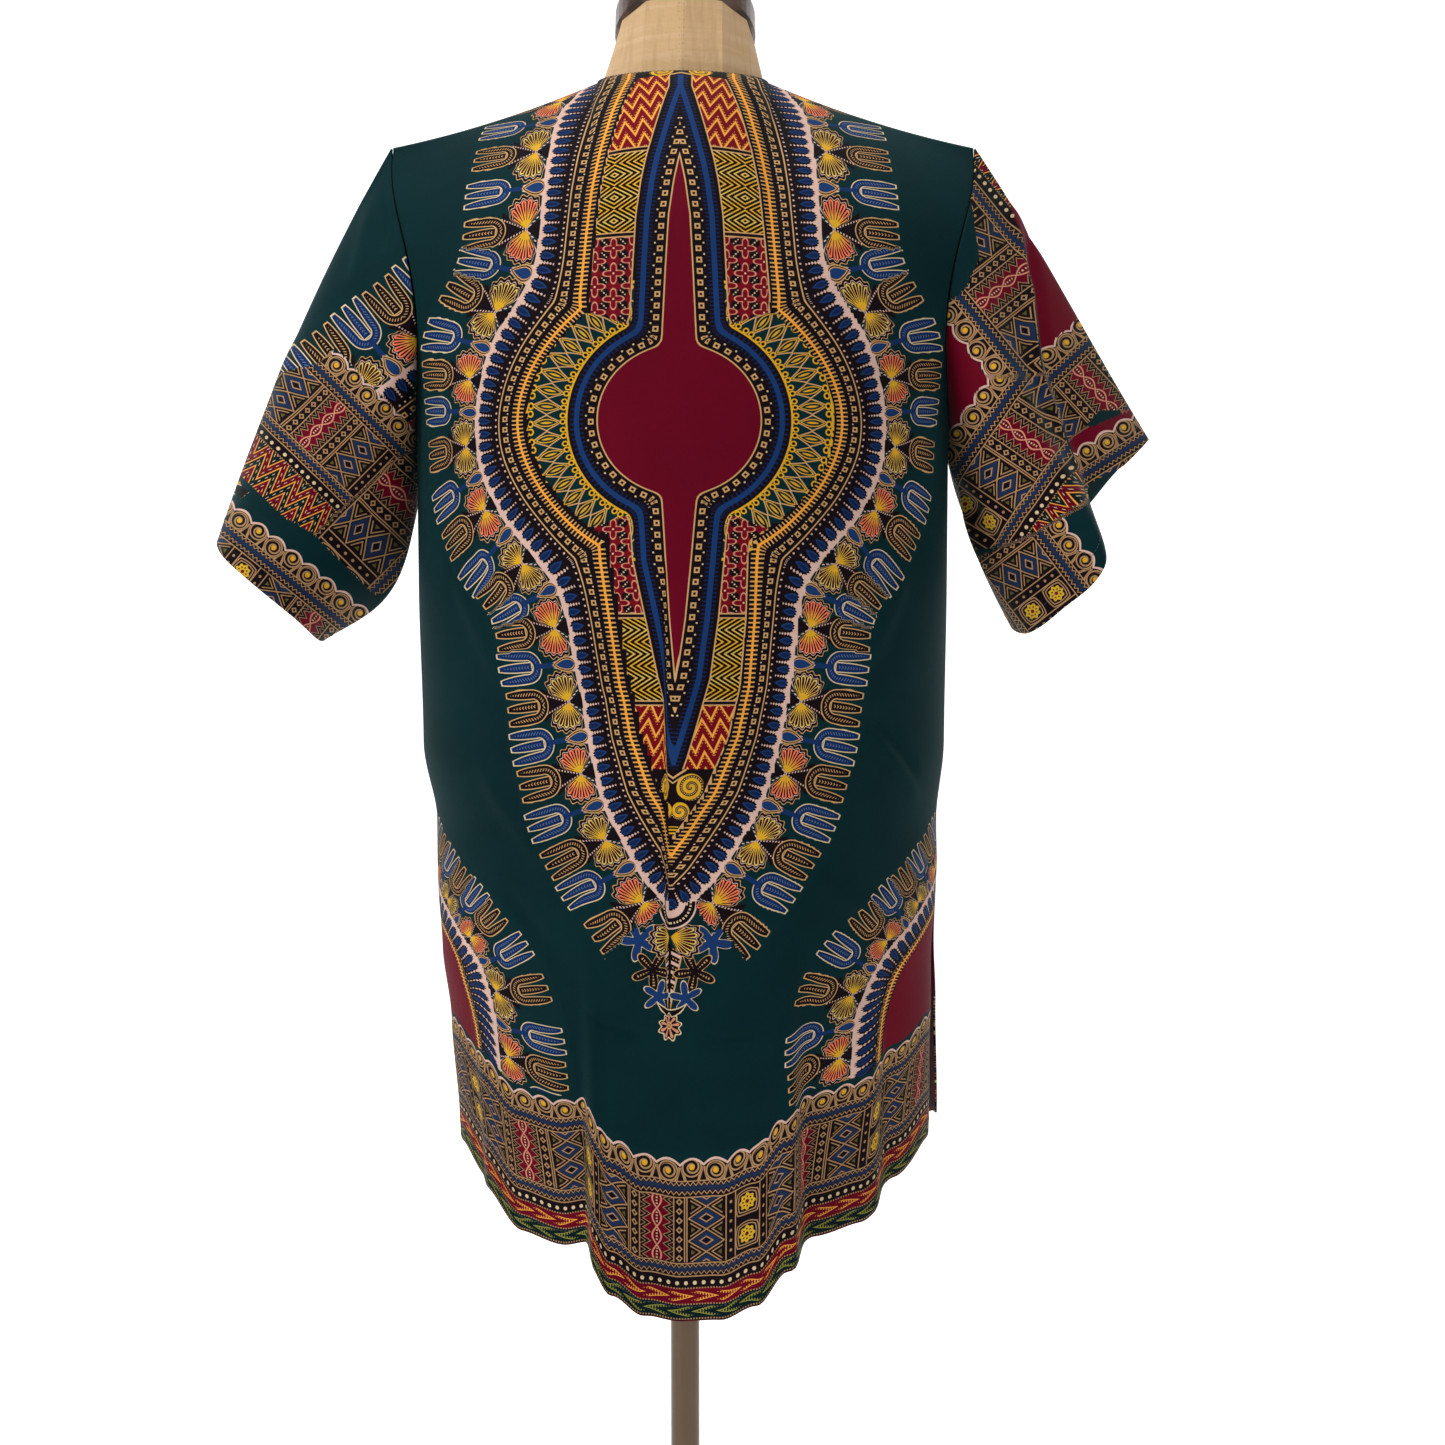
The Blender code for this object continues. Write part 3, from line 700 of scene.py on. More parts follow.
def print_fields(x, y):
    """What the print's materials read at each place, and the material of each place."""
    x = x - np.interp(y, *zip(*DRIFT))
    crease = np.interp(y, *zip(*HIDING_CREASE))
    x = x - np.interp(y, *zip(*HIDDEN)) * smooth(0.5 - (x - crease) / CREASE_SOFTNESS)
    size = np.abs(x)
    down = (y - DISC_Y) * DISC_STRETCH
    ring, turn = np.hypot(size, down), np.arctan2(size, -down)
    flat = RING_FLATTER * smooth(np.abs(y - DISC_Y) / RING_FLAT_FROM)
    around = []
    for table, radius, flatter in (
        (CORE_WIDTHS, DISC_RADIUS, 0), (SPINE_WIDTHS, RING_RADIUS, flat)
    ):
        run, off = half_width(table, size, y)
        round_off = ring - (radius - flatter)
        run = joined(run, turn * radius, off, round_off, y < DISC_Y)
        share = smooth(0.5 + (round_off - off) / CROSSING_SOFTNESS)
        around.append((mix(turn * radius, run, share), off, round_off))
    (core_run, off_core, off_disc), (spine_run, off_spine, off_ring) = around
    soft_off = np.logaddexp(-off_core / CORE_SOFTNESS, -off_disc / CORE_SOFTNESS)
    spine_off = np.minimum(off_spine, off_ring)
    main = on_line(size, y, FRINGE_LINE, PAIR_RUNS, 1)
    side = on_line(size, y, SIDE_FRINGE_LINE, SIDE_RUNS, -1)
    low = (y > SIDE_FROM_Y) & (side[1] < main[1])
    *fringe, plain_run = (np.where(low, a, b) for a, b in zip(side, main))
    past_last = (main[1] > LAST_OUT) & (main[2] > LAST_FIGURE - LAST_LESS)
    ended = (main[0] >= LAST_FIGURE) | past_last
    side_run, side_off, _ = beside(size, y, SIDE_SPINE_LINE)
    spine_run, spine_off = np.where(low, side_run, spine_run), np.where(low, -side_off, spine_off)
    span = np.maximum(spine_off - fringe[1], RIM_LEAST)
    side_scaled = mix(DROPS_START, RIM_WIDTH, (spine_off - COMB_END) / (span - COMB_END))
    side_scaled = np.where(spine_off > COMB_END, side_scaled, spine_off)
    scaled = np.where(low, side_scaled, spine_off * RIM_WIDTH / span)
    spine_off = np.where(spine_off > 0, scaled, spine_off)
    zone = np.full(x.shape, FANS)
    zone[(fringe[1] > FIGURES_OUT) | ~low & ended] = GROUND
    zone[fringe[1] < 0] = RIM
    zone[(spine_off < MEDALLION_EDGE) & ~low] = MEDALLION
    zone[(spine_off < CORNER_EDGE) & low] = CORNER
    zone[y > BORDER_TOP + BORDER_EDGE] = BORDER
    fields = {
        "print_place": (x, y, ring),
        "core": (core_run, -CORE_SOFTNESS * soft_off, turn),
        "spine": (spine_run, spine_off, plain_run),
        "fringe": fringe,
        "border": (x, y - BORDER_TOP, np.zeros_like(x)),
    }
    return fields, zone


def grid_normals(points, closed):
    """Unit normals of a grid of points, from the neighbours along its rows and columns."""
    up = np.gradient(points, axis=0)
    if closed:
        along = np.roll(points, -1, axis=1) - np.roll(points, 1, axis=1)
    else:
        along = np.gradient(points, axis=1)
    normal = np.cross(along, up)
    if not closed:
        normal[np.abs(points[..., 1]) <= SEAM_GAP * 0.51, 1] = 0.0
    return normal / np.linalg.norm(normal, axis=2, keepdims=True)


def placed(name, data):
    """A new object in the scene, with its mesh, lamp or camera."""
    obj = bpy.data.objects.new(name, data)
    bpy.context.scene.collection.objects.link(obj)
    return obj


def meshed(name, vertices, edges, faces):
    mesh = bpy.data.meshes.new(name)
    mesh.from_pydata(vertices, edges, faces)
    return mesh


def cloth(name, points, closed, fields, zone, materials):
    """A piece of cloth from a grid of its middle points: a fine face side, a wrong side with
    half as many rows and columns, and cut edges. Rows and columns are odd in number, or the
    columns even where the piece closes on itself."""
    normals = grid_normals(points, closed) * CLOTH_THICKNESS / 2
    rows, columns = points.shape[:2]
    outer = points + normals
    inner = (points - normals)[::2, ::2]
    number = np.arange(rows * columns).reshape(rows, columns)
    back_number = rows * columns + np.arange(inner[..., 0].size).reshape(inner.shape[:2])
    if closed:
        number = np.hstack((number, number[:, :1]))
        back_number = np.hstack((back_number, back_number[:, :1]))

    def squares(n):
        return np.stack((n[:-1, :-1], n[:-1, 1:], n[1:, 1:], n[1:, :-1]), -1).reshape(-1, 4)

    faces = squares(number).tolist() + squares(back_number)[:, ::-1].tolist()
    count = len(faces)
    edges = [(number[0], back_number[0], True), (number[-1], back_number[-1], False)]
    if not closed:
        edges += [(number[:, 0], back_number[:, 0], False), (number[:, -1], back_number[:, -1], True)]
    middles = [v for fine, _, _ in edges for v in fine[1::2]]
    for fine, coarse, flip in edges:
        for k in range(len(coarse) - 1):
            ring = [fine[2 * k], fine[2 * k + 1], fine[2 * k + 2], coarse[k + 1], coarse[k]]
            faces.append([int(v) for v in (ring[::-1] if flip else ring)])
    vertices = np.concatenate((outer.reshape(-1, 3), inner.reshape(-1, 3)))
    mesh = meshed(name, vertices.tolist(), [], faces)
    index = np.full(len(faces), len(materials) - 1, np.int32)
    rim_zone = zone.ravel()
    if closed:
        zone = np.hstack((zone, zone[:, :1]))
    index[: (rows - 1) * (number.shape[1] - 1)] = zone[:-1, :-1].ravel()
    index[count:] = rim_zone[middles]
    for material in materials:
        mesh.materials.append(material)
    mesh.polygons.foreach_set("material_index", index)
    for key, values in fields.items():
        both = [np.concatenate((v.ravel(), v[::2, ::2].ravel())) for v in values]
        attribute = mesh.attributes.new(key, "FLOAT_VECTOR", "POINT")
        attribute.data.foreach_set("vector", np.stack(both, -1).astype(np.float32).ravel())
    mesh.shade_smooth()
    mesh.update()
    return placed(name, mesh)


def dye(red, green, blue):
    """A dye's colour, from how it looks in plain light."""
    return tuple((v / 255 / 12.92 if v < 10.3 else ((v / 255 + 0.055) / 1.055) ** 2.4)
                 for v in (red, green, blue))


GREEN, DEEP_GREEN = dye(2, 38, 42), dye(2, 26, 30)
WINE, RED, DARK_WINE = dye(100, 1, 28), dye(112, 6, 24), dye(70, 6, 18)
BLUE, DARK_BLUE, NAVY = dye(22, 54, 104), dye(12, 32, 74), dye(18, 46, 92)
SLATE, MIST = dye(28, 44, 74), dye(84, 102, 138)
GOLD, YELLOW, STRAW = dye(216, 164, 38), dye(210, 168, 46), dye(214, 186, 96)
ORANGE, SALMON, SALMON_PALE = dye(236, 160, 62), dye(236, 122, 84), dye(206, 138, 110)
CREAM, PINK, TAN, LINE = dye(214, 190, 150), dye(214, 178, 164), dye(200, 156, 102), dye(170, 132, 92)
LEAF, OLIVE, BLACK = dye(142, 140, 56), dye(92, 86, 40), dye(18, 8, 14)


def woven(finish):
    """Ends a printed cotton: the dyes crack and cloud a little, and the yarns show close up."""
    x, y, _ = finish.field("print_place")
    yarns = (x * 1.25).folded(0.5) + (y * 1.25).folded(0.5)
    crackle = finish.noise(420, detail=3.0)
    finish.shade(finish.noise(16, detail=4.0), 0.78, 1.22)
    finish.shade(crackle, 0.90, 1.10)
    finish.shade(yarns, 0.96, 1.02)
    return finish.surface(yarns + crackle * 0.8, 0.00012)


def cotton(name, ground):
    return Finish(
        name, ground, Roughness=0.66, Specular_IOR_Level=0.05, Sheen_Weight=0.06,
        Sheen_Roughness=0.38, Sheen_Tint=(0.42, 0.80, 0.78, 1),
    )


def dots(along, off, middle, spacing, size):
    """A row of dots at a distance from a line."""
    u, v = along.repeat(spacing), off - middle
    return (u * u + v * v) < size * size


def beaded(finish, along, off, middle, spacing, bead, heart, dots_off, dot):
    """Paints a row of small squares with dark hearts along a line, and a row of dots outside it,
    between the squares."""
    far = abs(along.repeat(spacing)).by("MAXIMUM", abs(off - middle))
    finish.paint(far < bead, TAN)
    finish.paint(far < heart, BLACK)
    finish.paint(dots(along + spacing / 2, off, dots_off, spacing, dot), CREAM)


FAN_REACH, FAN_HALF_ANGLE, FAN_PETAL = 26.5, 0.82, 0.2856


def fan(finish, u, v, lean, warm):
    """Paints an open fan of five petals with its foot at 0, 0. It opens along v, leaning to u,
    and its petals are salmon where warm is 1 and pale yellow elsewhere."""
    far = distance(u, v)
    angle = u.by("ARCTAN2", v) - lean
    spread = angle * angle * 2.1
    inside = FAN_REACH - spread * spread * 5.0 + (angle * 22.0).by("COSINE") * 1.4 - far
    inside = inside.by("MINIMUM", (FAN_HALF_ANGLE - abs(angle)) * far + 1.0)
    for edge, colour in ((-5.2, TAN), (-4.3, BLACK), (-1.3, PINK), (-0.5, BLACK)):
        finish.paint(inside > edge, colour)
    petal = abs(angle.repeat(FAN_PETAL))
    lit = (inside > 0.8) & (petal < 0.104) & (far > 2)
    hole = (far - 9.0).by("MINIMUM", 9.0) * 0.14 - petal * far
    finish.paint(lit, finish.blend(far.ramp(7, 20), GOLD, finish.blend(warm, STRAW, SALMON)))
    finish.paint(lit & (inside > 2.8) & (far > 10) & ((hole - warm * 0.5) > 0), DARK_WINE)
    finish.paint((far < 8.0) & (inside > 0.6), GOLD)


def trident(u, v, reach, apart):
    """How deep a point is in a flower of three long petals on a round cup, open along v."""
    cup = 5.0 - abs(distance(u, v - apart) - apart)
    thin = v.ramp(apart, reach)
    width = 5.2 - thin * thin * thin * 2.6
    outer = width - abs(abs(u) - apart - (v - apart) * 0.06)
    middle = (width - abs(u)).by("MINIMUM", v - 6)
    petals = cup.by("MINIMUM", (apart + 1 - v) * 9) | outer.by("MINIMUM", (v - apart) * 9) | middle
    return petals.by("MINIMUM", (reach - v) * 0.7)


# The medallion's middle: a wine core, beads, a blue band, a ring of gold leaves, and panels. The
# leaves stand between two circles, and the panels end above and below in a roof's slope.
BLUE_BAND, BAND_OUT = 22.5, 31
RING_IN, RING_MIDDLE, RING_OUT, LEAF_SPACING = 114, 137, 161, 18.0
ROOF_SLOPE, UPPER_PANELS_END, LOWER_PANELS_START = 0.325, 340.5, 498.5
LOWER_PANELS_END, LOWER_STRETCH, UPPER_PANELS_START = 611.0, 1.08, 236.0
BOLT_SPACING, CROSS_SPACING_X, CROSS_SPACING_Y, TIP_START = 17.6, 38.0, 26.6, 769

middle = cotton("medallion_cotton", BLACK)
x, y, ring = middle.field("print_place")
run, off, turn = middle.field("core")
_, spine_off, _ = middle.field("spine")
wide = abs(x)
in_ring = (ring > RING_IN) & (ring < RING_OUT) & (off > BAND_OUT)
leaf_run, leaf_off = turn * RING_MIDDLE, ring - RING_MIDDLE
zigzag = (leaf_run + LEAF_SPACING / 2).folded(LEAF_SPACING / 2)
curl_run = leaf_run + LEAF_SPACING / 4 - (leaf_off > 0) * (LEAF_SPACING / 2)
curl = distance(abs(curl_run.repeat(LEAF_SPACING)) - 3.9, abs(leaf_off) - 18.0)
lens = 4.4 - leaf_off * leaf_off * 0.024 - abs(leaf_run.repeat(LEAF_SPACING))
middle.patch(
    in_ring, GREEN,
    (abs(abs(leaf_off) * 0.5 - zigzag + 0.5) < 0.75, TAN),
    ((abs(leaf_off) > 20.9) | (curl < 3.606), GOLD),
    (curl < 1.897, BLACK),
    (lens > 0, GOLD),
    ((lens > 1.1) & (lens < 3.2), GREEN),
)

roof = wide * ROOF_SLOPE
between_roofs = (y < UPPER_PANELS_END - roof) | (y > LOWER_PANELS_START + roof)
in_panel = between_roofs & (off > BAND_OUT + 2) & (spine_off < -8.5)
eaves = y.near(341.5, 12.0) & ((y + roof) > 338.8) | y.near(497.0, 14.0) & ((y - roof) < 500.2)
framed = in_panel & ((off < BAND_OUT + 3.4) | (spine_off > -10.0) | eaves)
level = y.by("MINIMUM", (LOWER_PANELS_END - y) * LOWER_STRETCH + UPPER_PANELS_START)
bolts = in_panel & (level < BOLTS_END)
bolt = (level - BOLTS_END + (wide - 2.0 + level * 0.10).folded(9.2) * 2.0).repeat(BOLT_SPACING)
middle.patch(
    bolts, RED,
    ((bolt > -5.4) & (bolt < -3.6) & (level.repeat(3.3) > 0.4), ORANGE),
    (abs(bolt) < 2.3, ORANGE),
)
lines = in_panel & (level > BOLTS_END) & (level < LINES_END)
diamond = abs(wide - 66) + (level - BOLTS_END - 27.0).folded(13.0) * 1.52
gold_or_straw = middle.blend((level.repeat(26.0) > 0) * 0.6, GOLD, STRAW)
middle.paint(lines & (abs(diamond.repeat(7.2)) > 2.3), gold_or_straw)
crosses = in_panel & (level > LINES_END)
u = (wide - 75.5).repeat(CROSS_SPACING_X / 2)
v = (level - LINES_END - 7.4).repeat(CROSS_SPACING_Y / 2)
blob = distance(u, v)
spots = (blob < 0.9) | dots(u + v, blob, 3.2, 6.0, 0.8)
middle.patch(crosses, RED, (blob < 5.2, BLACK), (spots, CREAM))
for share in (0.0, 0.5):
    u = (wide - 66 + CROSS_SPACING_X * share).repeat(CROSS_SPACING_X)
    v = (level - LINES_END - 14.0 + CROSS_SPACING_Y * share).repeat(CROSS_SPACING_Y)
    away = distance(u, v)
    lobes = (u.by("ARCTAN2", v) * 4).by("COSINE") * 3.2 + 7.4
    middle.patch(
        crosses, None,
        (away < lobes, RED), (abs(away - lobes) < 0.85, SALMON_PALE), (away < 1.0, CREAM),
    )
from_seam = abs(level - BOLTS_END).by("MINIMUM", abs(level - LINES_END))
seams = in_panel & (from_seam < 3.0)
middle.paint(seams, BLACK)
middle.paint(framed | seams & (from_seam > 1.6), TAN)

middle.paint(off.near(BLUE_BAND, 6.8) & (run.repeat(4.2) > 0.5), DARK_BLUE)
middle.paint(off.near(BLUE_BAND, 2.7), BLUE)
beaded(middle, run, off, 7.4, 11.8, 2.9, 1.3, 12.6, 0.95)
middle.paint(off < 1.5, TAN)
middle.paint(off < 0, WINE)

top, tip = y < NECK_END, y > TIP_START
middle.paint(top | tip, BLACK)
for swirl_x, swirl_y, size, where in (
    (20.5, NECK_END - 12, 12.5, top),
    (17.5, TIP_START + 18, 13.5, tip),
    (8.0, TIP_START + 42, 9.0, tip),
):
    u, v = wide - swirl_x, y - swirl_y
    swirl, turn = distance(u, v), u.by("ARCTAN2", v) / math.tau
    turns = (swirl / 6.2 + turn).by("FRACT")
    dashes = turns.near(0.2, 0.1) & ((turn * 26).by("FRACT") > 0.5)
    middle.patch(where & (swirl < size), None, (turns > 0.45, GOLD), (dashes, TAN))
slope = y + wide * 0.7
comb = (((wide - 4.0) * 3).by("MAXIMUM", abs(y - 836.0)) < 9.5) & ((y - 836.0).repeat(3.4) > 0)
middle.patch(
    tip, None,
    (comb, GOLD),
    (spine_off > -10.2, TAN),
    (slope.near(778.0, 1.2) & (wide < 13) | slope.near(783.0, 0.8) & (wide < 10), TAN),
)
middle.paint(top & (y - wide * 0.42).near(NECK_END - 6, 1.4) & (wide < 12), TAN)
medallion_cotton = woven(middle)

# The medallion's rim: an orange comb line, beads, a pale line, dots, and a row of blue drops on
# a pale band with a toothed edge.
DROP_SPACING, TOOTH_SPACING, DROP_FOOT, DROP_LENGTH = 14.4, 2.88, 44.5, 14.5

rim = cotton("rim_cotton", BLACK)
run, off, outer_run = rim.field("spine")
drop_run = outer_run.repeat(DROP_SPACING)
saw, cut = abs((off - 30).repeat(3.2)), abs(outer_run.repeat(TOOTH_SPACING))
rim.paint((off > 29.5) & (abs(drop_run) - saw * 1.1 - (44.0 - off) * 0.06 > 5.2), PINK)
rim.paint((off + drop_run * drop_run * 0.10 - cut * 1.5) > 45.0, PINK)
share = ((DROP_FOOT - off) / DROP_LENGTH).ramp(0, 1)
body = share.by("SQRT") * (1.0 - share) * 9.4 - abs(drop_run)
rim.paint(body > 0, BLUE)
rim.paint(body > 1.5, DARK_BLUE)
rim.patch(run.repeat(4.6) > 0.7, None, (abs(off) < 6.2, TAN), (abs(off) < 3.4, ORANGE))
rim.paint(abs(off) < 1.3, ORANGE)
beaded(rim, run, off, 14.0, 10.9, 2.7, 1.2, 11.4, 0.8)
rim.paint(off.near(20.8, 0.65), TAN)
rim.paint(dots(run, off, 24.3, 6.55, 1.0), PINK)
rim_cotton = woven(rim)

# The fringe: pairs of fans, with tridents that point away from the medallion, on green. Between
# the pairs a drop stands on the line.
FAN_FOOT, STALK_MIDDLE, DROP_TALL = 15.0, 22, 25.0

fans = cotton("fringe_cotton", GREEN)
run, off, place = fans.field("fringe")
foot, t = place.folded(REPEAT / 2), run.folded(REPEAT / 2)
edge = REPEAT / 2 - t
pair = (run / (2 * REPEAT) + 0.25).by("FRACT") > 0.5
fans.paint((off < 1.5) | ((off < 24) & (edge < 9 - off * 0.25)), PINK)
joint = (off - FAN_FOOT) * 0.62
stalk, base = off.near(STALK_MIDDLE, 21.5), off.near(8, 6.5)
fans.paint(stalk & (t < abs(joint).by("MAXIMUM", 4.0)) & (t < 30), BLACK)
fans.paint(stalk & abs(t - joint * 0.62).near(0.0, 0.8) & (off.repeat(3.0) > 0.2), PINK)
fans.paint(base & abs(t + joint * 2.3).near(0.0, 1.2), PINK)
fans.paint(dots(t, t + joint * 1.5, 0.0, 3.4, 1.0) & off.near(8, 5), PINK)
for near, aside, start, reach, apart, petal, edging, spot in (
    (foot < REPEAT / 4, foot, 42.5, 43.0, 12.6, BLACK, TAN, TAN),
    (foot > REPEAT / 4, REPEAT / 2 - foot, 42.0, 46.0, 11.8, NAVY, CREAM, MIST),
):
    v = off - start
    deep = trident(aside, v, reach, apart)
    fans.patch(near, None, (deep > -0.2, edging), (deep > 0.9, petal))
    if petal == NAVY:
        fans.paint(near & (deep > 2.1) & (deep < 2.8), DARK_BLUE)
    fans.paint(near & (deep > 3.6) & ((v + aside * 0.8).repeat(3.4) > 0.6), spot)
fans.paint(off.near(33, 11) & (foot > 36.4), NAVY)
fan(fans, off - FAN_FOOT, t - 1.0, 0.24, pair)
share = (off / DROP_TALL).ramp(0, 1)
drop = share.by("SQRT") * (1.0 - share) * 21.0 - edge
for least, trim, colour in ((-0.2, 0, TAN), (1.0, 1, BLACK), (2.2, 2, TAN), (3.2, 3, BLUE)):
    fans.paint((drop > least) & (off < DROP_TALL - trim), colour)
fringe_cotton = woven(fans)

# The border along the hem, which also edges the sleeves. From its top: a scroll, zigzags, a row
# of panels, zigzags, dots, and two rows of arrowheads between lines of small dots. Each value is
# a row's place below the border's top, or a panel's place from the middle of a repeat, in steps.
SCROLL_END, SCROLL_SPACING = 23, 24.0
ZIGZAGS = ((31.5, 1.0), (112.0, 0.8))
PANELS_MIDDLE, PANELS_HALF, PANELS_SPACING, PANELS_SHIFT = 72, 32.0, 188.4, 12.0
CHAIN_HALF, BEADS_AT, LATTICE_AT, FLOWER_AT = 17, 23.3, 50.7, 94.2
DOTS_AT, ARROWS_TOP, SMALL_DOTS_AT = 125.0, 130.5, (130.2, 146.2, 160.6)
HEM_EDGE, SLEEVE_EDGE, BOLTS_SPACING = 170.0, 176.0, 36.0

hem = cotton("border_cotton", BLACK)
along, down, kind = hem.field("border")
on_sleeve = kind > 1.5
on_wine = (kind - on_sleeve * 2.0) > 0.5
u = along.repeat(SCROLL_SPACING)
v = down - 13.5 + ((along / (2 * SCROLL_SPACING) + 0.25).by("FRACT") > 0.5) * 4.0
far = distance(u, v)
scallop = down - u * u * 0.042
spiral = (far / 4.6 - u.by("ARCTAN2", v) / math.tau).by("FRACT") < 0.40
hem.patch(
    down < SCROLL_END, None,
    (scallop < 2.6, PINK),
    (scallop < 0, hem.blend(on_wine, GREEN, WINE)),
    (far.near(9.4, 0.8) & (scallop > 2.6), LINE),
    ((far < 7.8) & spiral, LINE),
    (far < 2.8, GOLD),
    ((scallop > 4.0) & (far > 10.6) & abs(abs(u) - 10.6 + v * 0.3).near(0, 1.4), LINE),
)
for at, size in ZIGZAGS:
    s = (down - at + along.folded(2.8) * 1.2 - 1.7) / size
    hem.patch(
        down.near(at, 8.6 * size), None,
        (s.near(-5.4, 0.7), LINE), (s.near(-1.1, 2.4), SLATE), (s.near(3.7, 0.7), LINE),
    )
    hem.paint(down.near(at + 7.9 * size, 0.6) | down.near(at - 8.2 * size, 0.6), LINE)

place = (along + PANELS_SHIFT).repeat(PANELS_SPACING)
wide, v = abs(place), down - PANELS_MIDDLE
row = down.near(PANELS_MIDDLE, PANELS_HALF)
wave = (v * 0.17).by("SINE") * 4.6
teeth = 14.2 - wide - (v - 2.0).folded(4.5) * 1.7
hem.patch(
    row & (wide < CHAIN_HALF), WINE,
    (teeth < 0.6, LINE),
    (teeth < -0.7, BLACK),
    ((teeth < -4.6) & (teeth > -5.6), LINE),
    ((abs(place - wave) < 0.85) | (abs(place + wave) < 0.85), SALMON_PALE),
    ((wide < 0.9) & (v.repeat(3.0) > 0.3) & (abs(wave) > 2.4), CREAM),
)
for at in (17.6, 28.6, 31.0, 70.6, 81.0):
    hem.paint(row & wide.near(at, 0.6), LINE)
bead = abs(v.repeat(9.4)) + abs(wide - BEADS_AT)
hem.patch(row & wide.near(BEADS_AT, 4.0), None, (bead < 3.6, LINE), (bead < 1.7, BLACK))
check = abs(wide - LATTICE_AT) / 18.0 + (v - 11.3).folded(11.3) / 11.3
hem.patch(
    row & wide.near(LATTICE_AT, 18.6), None,
    (check < 0.84, SLATE),
    (check.near(1.0, 0.065) | check.near(0.36, 0.06), LINE),
    (check < 0.27, BLACK),
    (check.near(1.32, 0.055) & wide.near(LATTICE_AT, 16.2), LINE),
    ((check > 1.62) & wide.near(LATTICE_AT, 15.2), OLIVE),
)
hem.paint(row & dots(down, wide, 75.8, 9.6, 1.5), LINE)
flower_x, flower_y = wide - FLOWER_AT, abs(v) - 16.2
bloom = distance(flower_x, flower_y)
rays = (flower_x.by("ARCTAN2", flower_y) * 8).by("COSINE")
quilt = (abs(flower_x) | abs(flower_y)) * 0.62 + bloom * 0.45
hem.patch(
    row & (wide > 81.6), None,
    (abs(quilt - 12.0).near(1.4, 0.6), LINE),
    (bloom < rays * 0.9 + 7.9, YELLOW),
    (bloom.near(4.7, 0.9) & (rays > 0.3), BLACK),
    (bloom < 2.0, RED),
)

hem.paint(dots(along, down, DOTS_AT, 9.0, 2.0), CREAM)
for start, deep, ground, mark, way in (
    (ARROWS_TOP, 15.6, WINE, ORANGE, 1.0), (ARROWS_TOP + 16.1, 13.6, DEEP_GREEN, LEAF, -1.0)
):
    aside = abs(down - start - deep / 2)
    point = (along * way + aside * 4.4).repeat(25.0)
    hem.patch(
        down.near(start + deep / 2, deep / 2), ground,
        ((aside < 4.7) & (point > -2.0) & (point < 1.6), mark),
        ((aside < 4.0) & (point > -9.5) & (point < 0) & (along.repeat(2.9) > 0.3), mark),
    )
for at in SMALL_DOTS_AT:
    hem.paint(dots(along, down, at, 2.9, 0.8), LINE)
hem.paint(down > 162.4, RED)
hem.paint(down > HEM_EDGE, GREEN)
slant = (down - ARROWS_TOP + along.folded(11.0) * 2.6).repeat(BOLTS_SPACING)
hem.patch(
    on_sleeve & (down > ARROWS_TOP), WINE,
    (slant > 2.0, DEEP_GREEN),
    (slant.near(0.5, 1.6) | abs(slant).near(17.4, 0.8), ORANGE),
    (abs(slant - 0.5).near(9.0, 0.9) & (along.repeat(3.2) > 0.3), CREAM),
    (abs(slant - 0.5).near(4.5, 0.7), BLACK),
)
hem.paint(on_sleeve & (down > SLEEVE_EDGE), GREEN)
border_cotton = woven(hem)

# The corners beside the hem and parts of the sleeves: wine cloth.
wine = cotton("wine_cotton", WINE)
wine.paint(wine.noise(30, detail=3.0).ramp(0.3, 0.8) * 0.35, RED)
wine_cotton = woven(wine)

# The ground between the figures: green cloth. Below the medallion it bears the arc round the
# rim's tip, two fans, a ribbed stem, three pairs of stars, a crescent and a last small flower.
TIP_TOP, TIP_END, TIP_HALF, ARC_Y, STEM_TOP, STEM_END = 895, 1062, 62, 903.0, 948, 1012.0

green = cotton("green_cotton", GREEN)
green.paint(green.noise(24, detail=3.0).ramp(0.3, 0.8) * 0.5, DEEP_GREEN)
x, y, _ = green.field("print_place")
wide = abs(x)
near = (y > TIP_TOP) & (y < TIP_END) & (wide < TIP_HALF)
ribs = (y - wide * 0.45).repeat(9.4)
stem = (STEM_END - y) * 0.21
green.patch(near & (y > STEM_TOP), None, (wide < stem + 1.6, TAN))
green.patch(
    near & (y > STEM_TOP) & (wide < stem), BLACK,
    (ribs > 1.4, PINK), (ribs.near(-1.6, 0.6) & (wide.repeat(3.0) > 0), TAN),
)
arc = distance(wide, y - ARC_Y)
arc_dots = (wide.by("ARCTAN2", y - ARC_Y) * 20.6).repeat(3.6) > 0
green.patch(
    near, None,
    ((wide < 1.6) & (y > 944) & (y < 1014), BLACK),
    ((arc < 27.0) & (y < 934), PINK),
    ((arc < 25.2) & (y < 932), BLACK),
    (arc.near(20.6, 1.0) & arc_dots, CREAM),
    (arc < 15.5, PINK),
)
for star_x, star_y, lean, petals, edging, spots, size in (
    (43.0, 943.0, 0.2, BLUE, CREAM, SLATE, 22.0),
    (26.0, 972.0, 0.5, BLACK, TAN, TAN, 22.0),
    (17.0, 998.0, 0.8, BLUE, CREAM, SLATE, 17.0),
):
    u, v = wide - star_x, y - star_y
    far = distance(u, v)
    star = (v.by("ARCTAN2", u) * 5 - lean * 5).by("COSINE")
    deep = (star * 0.34 + 0.62) * size - far
    veins = (star > 0.93) & (far > 4) & (deep > 3) & (far.repeat(3.0) > 0.2)
    green.patch(near, None, (deep > -1.6, edging), (deep > -0.3, petals), (veins, spots))
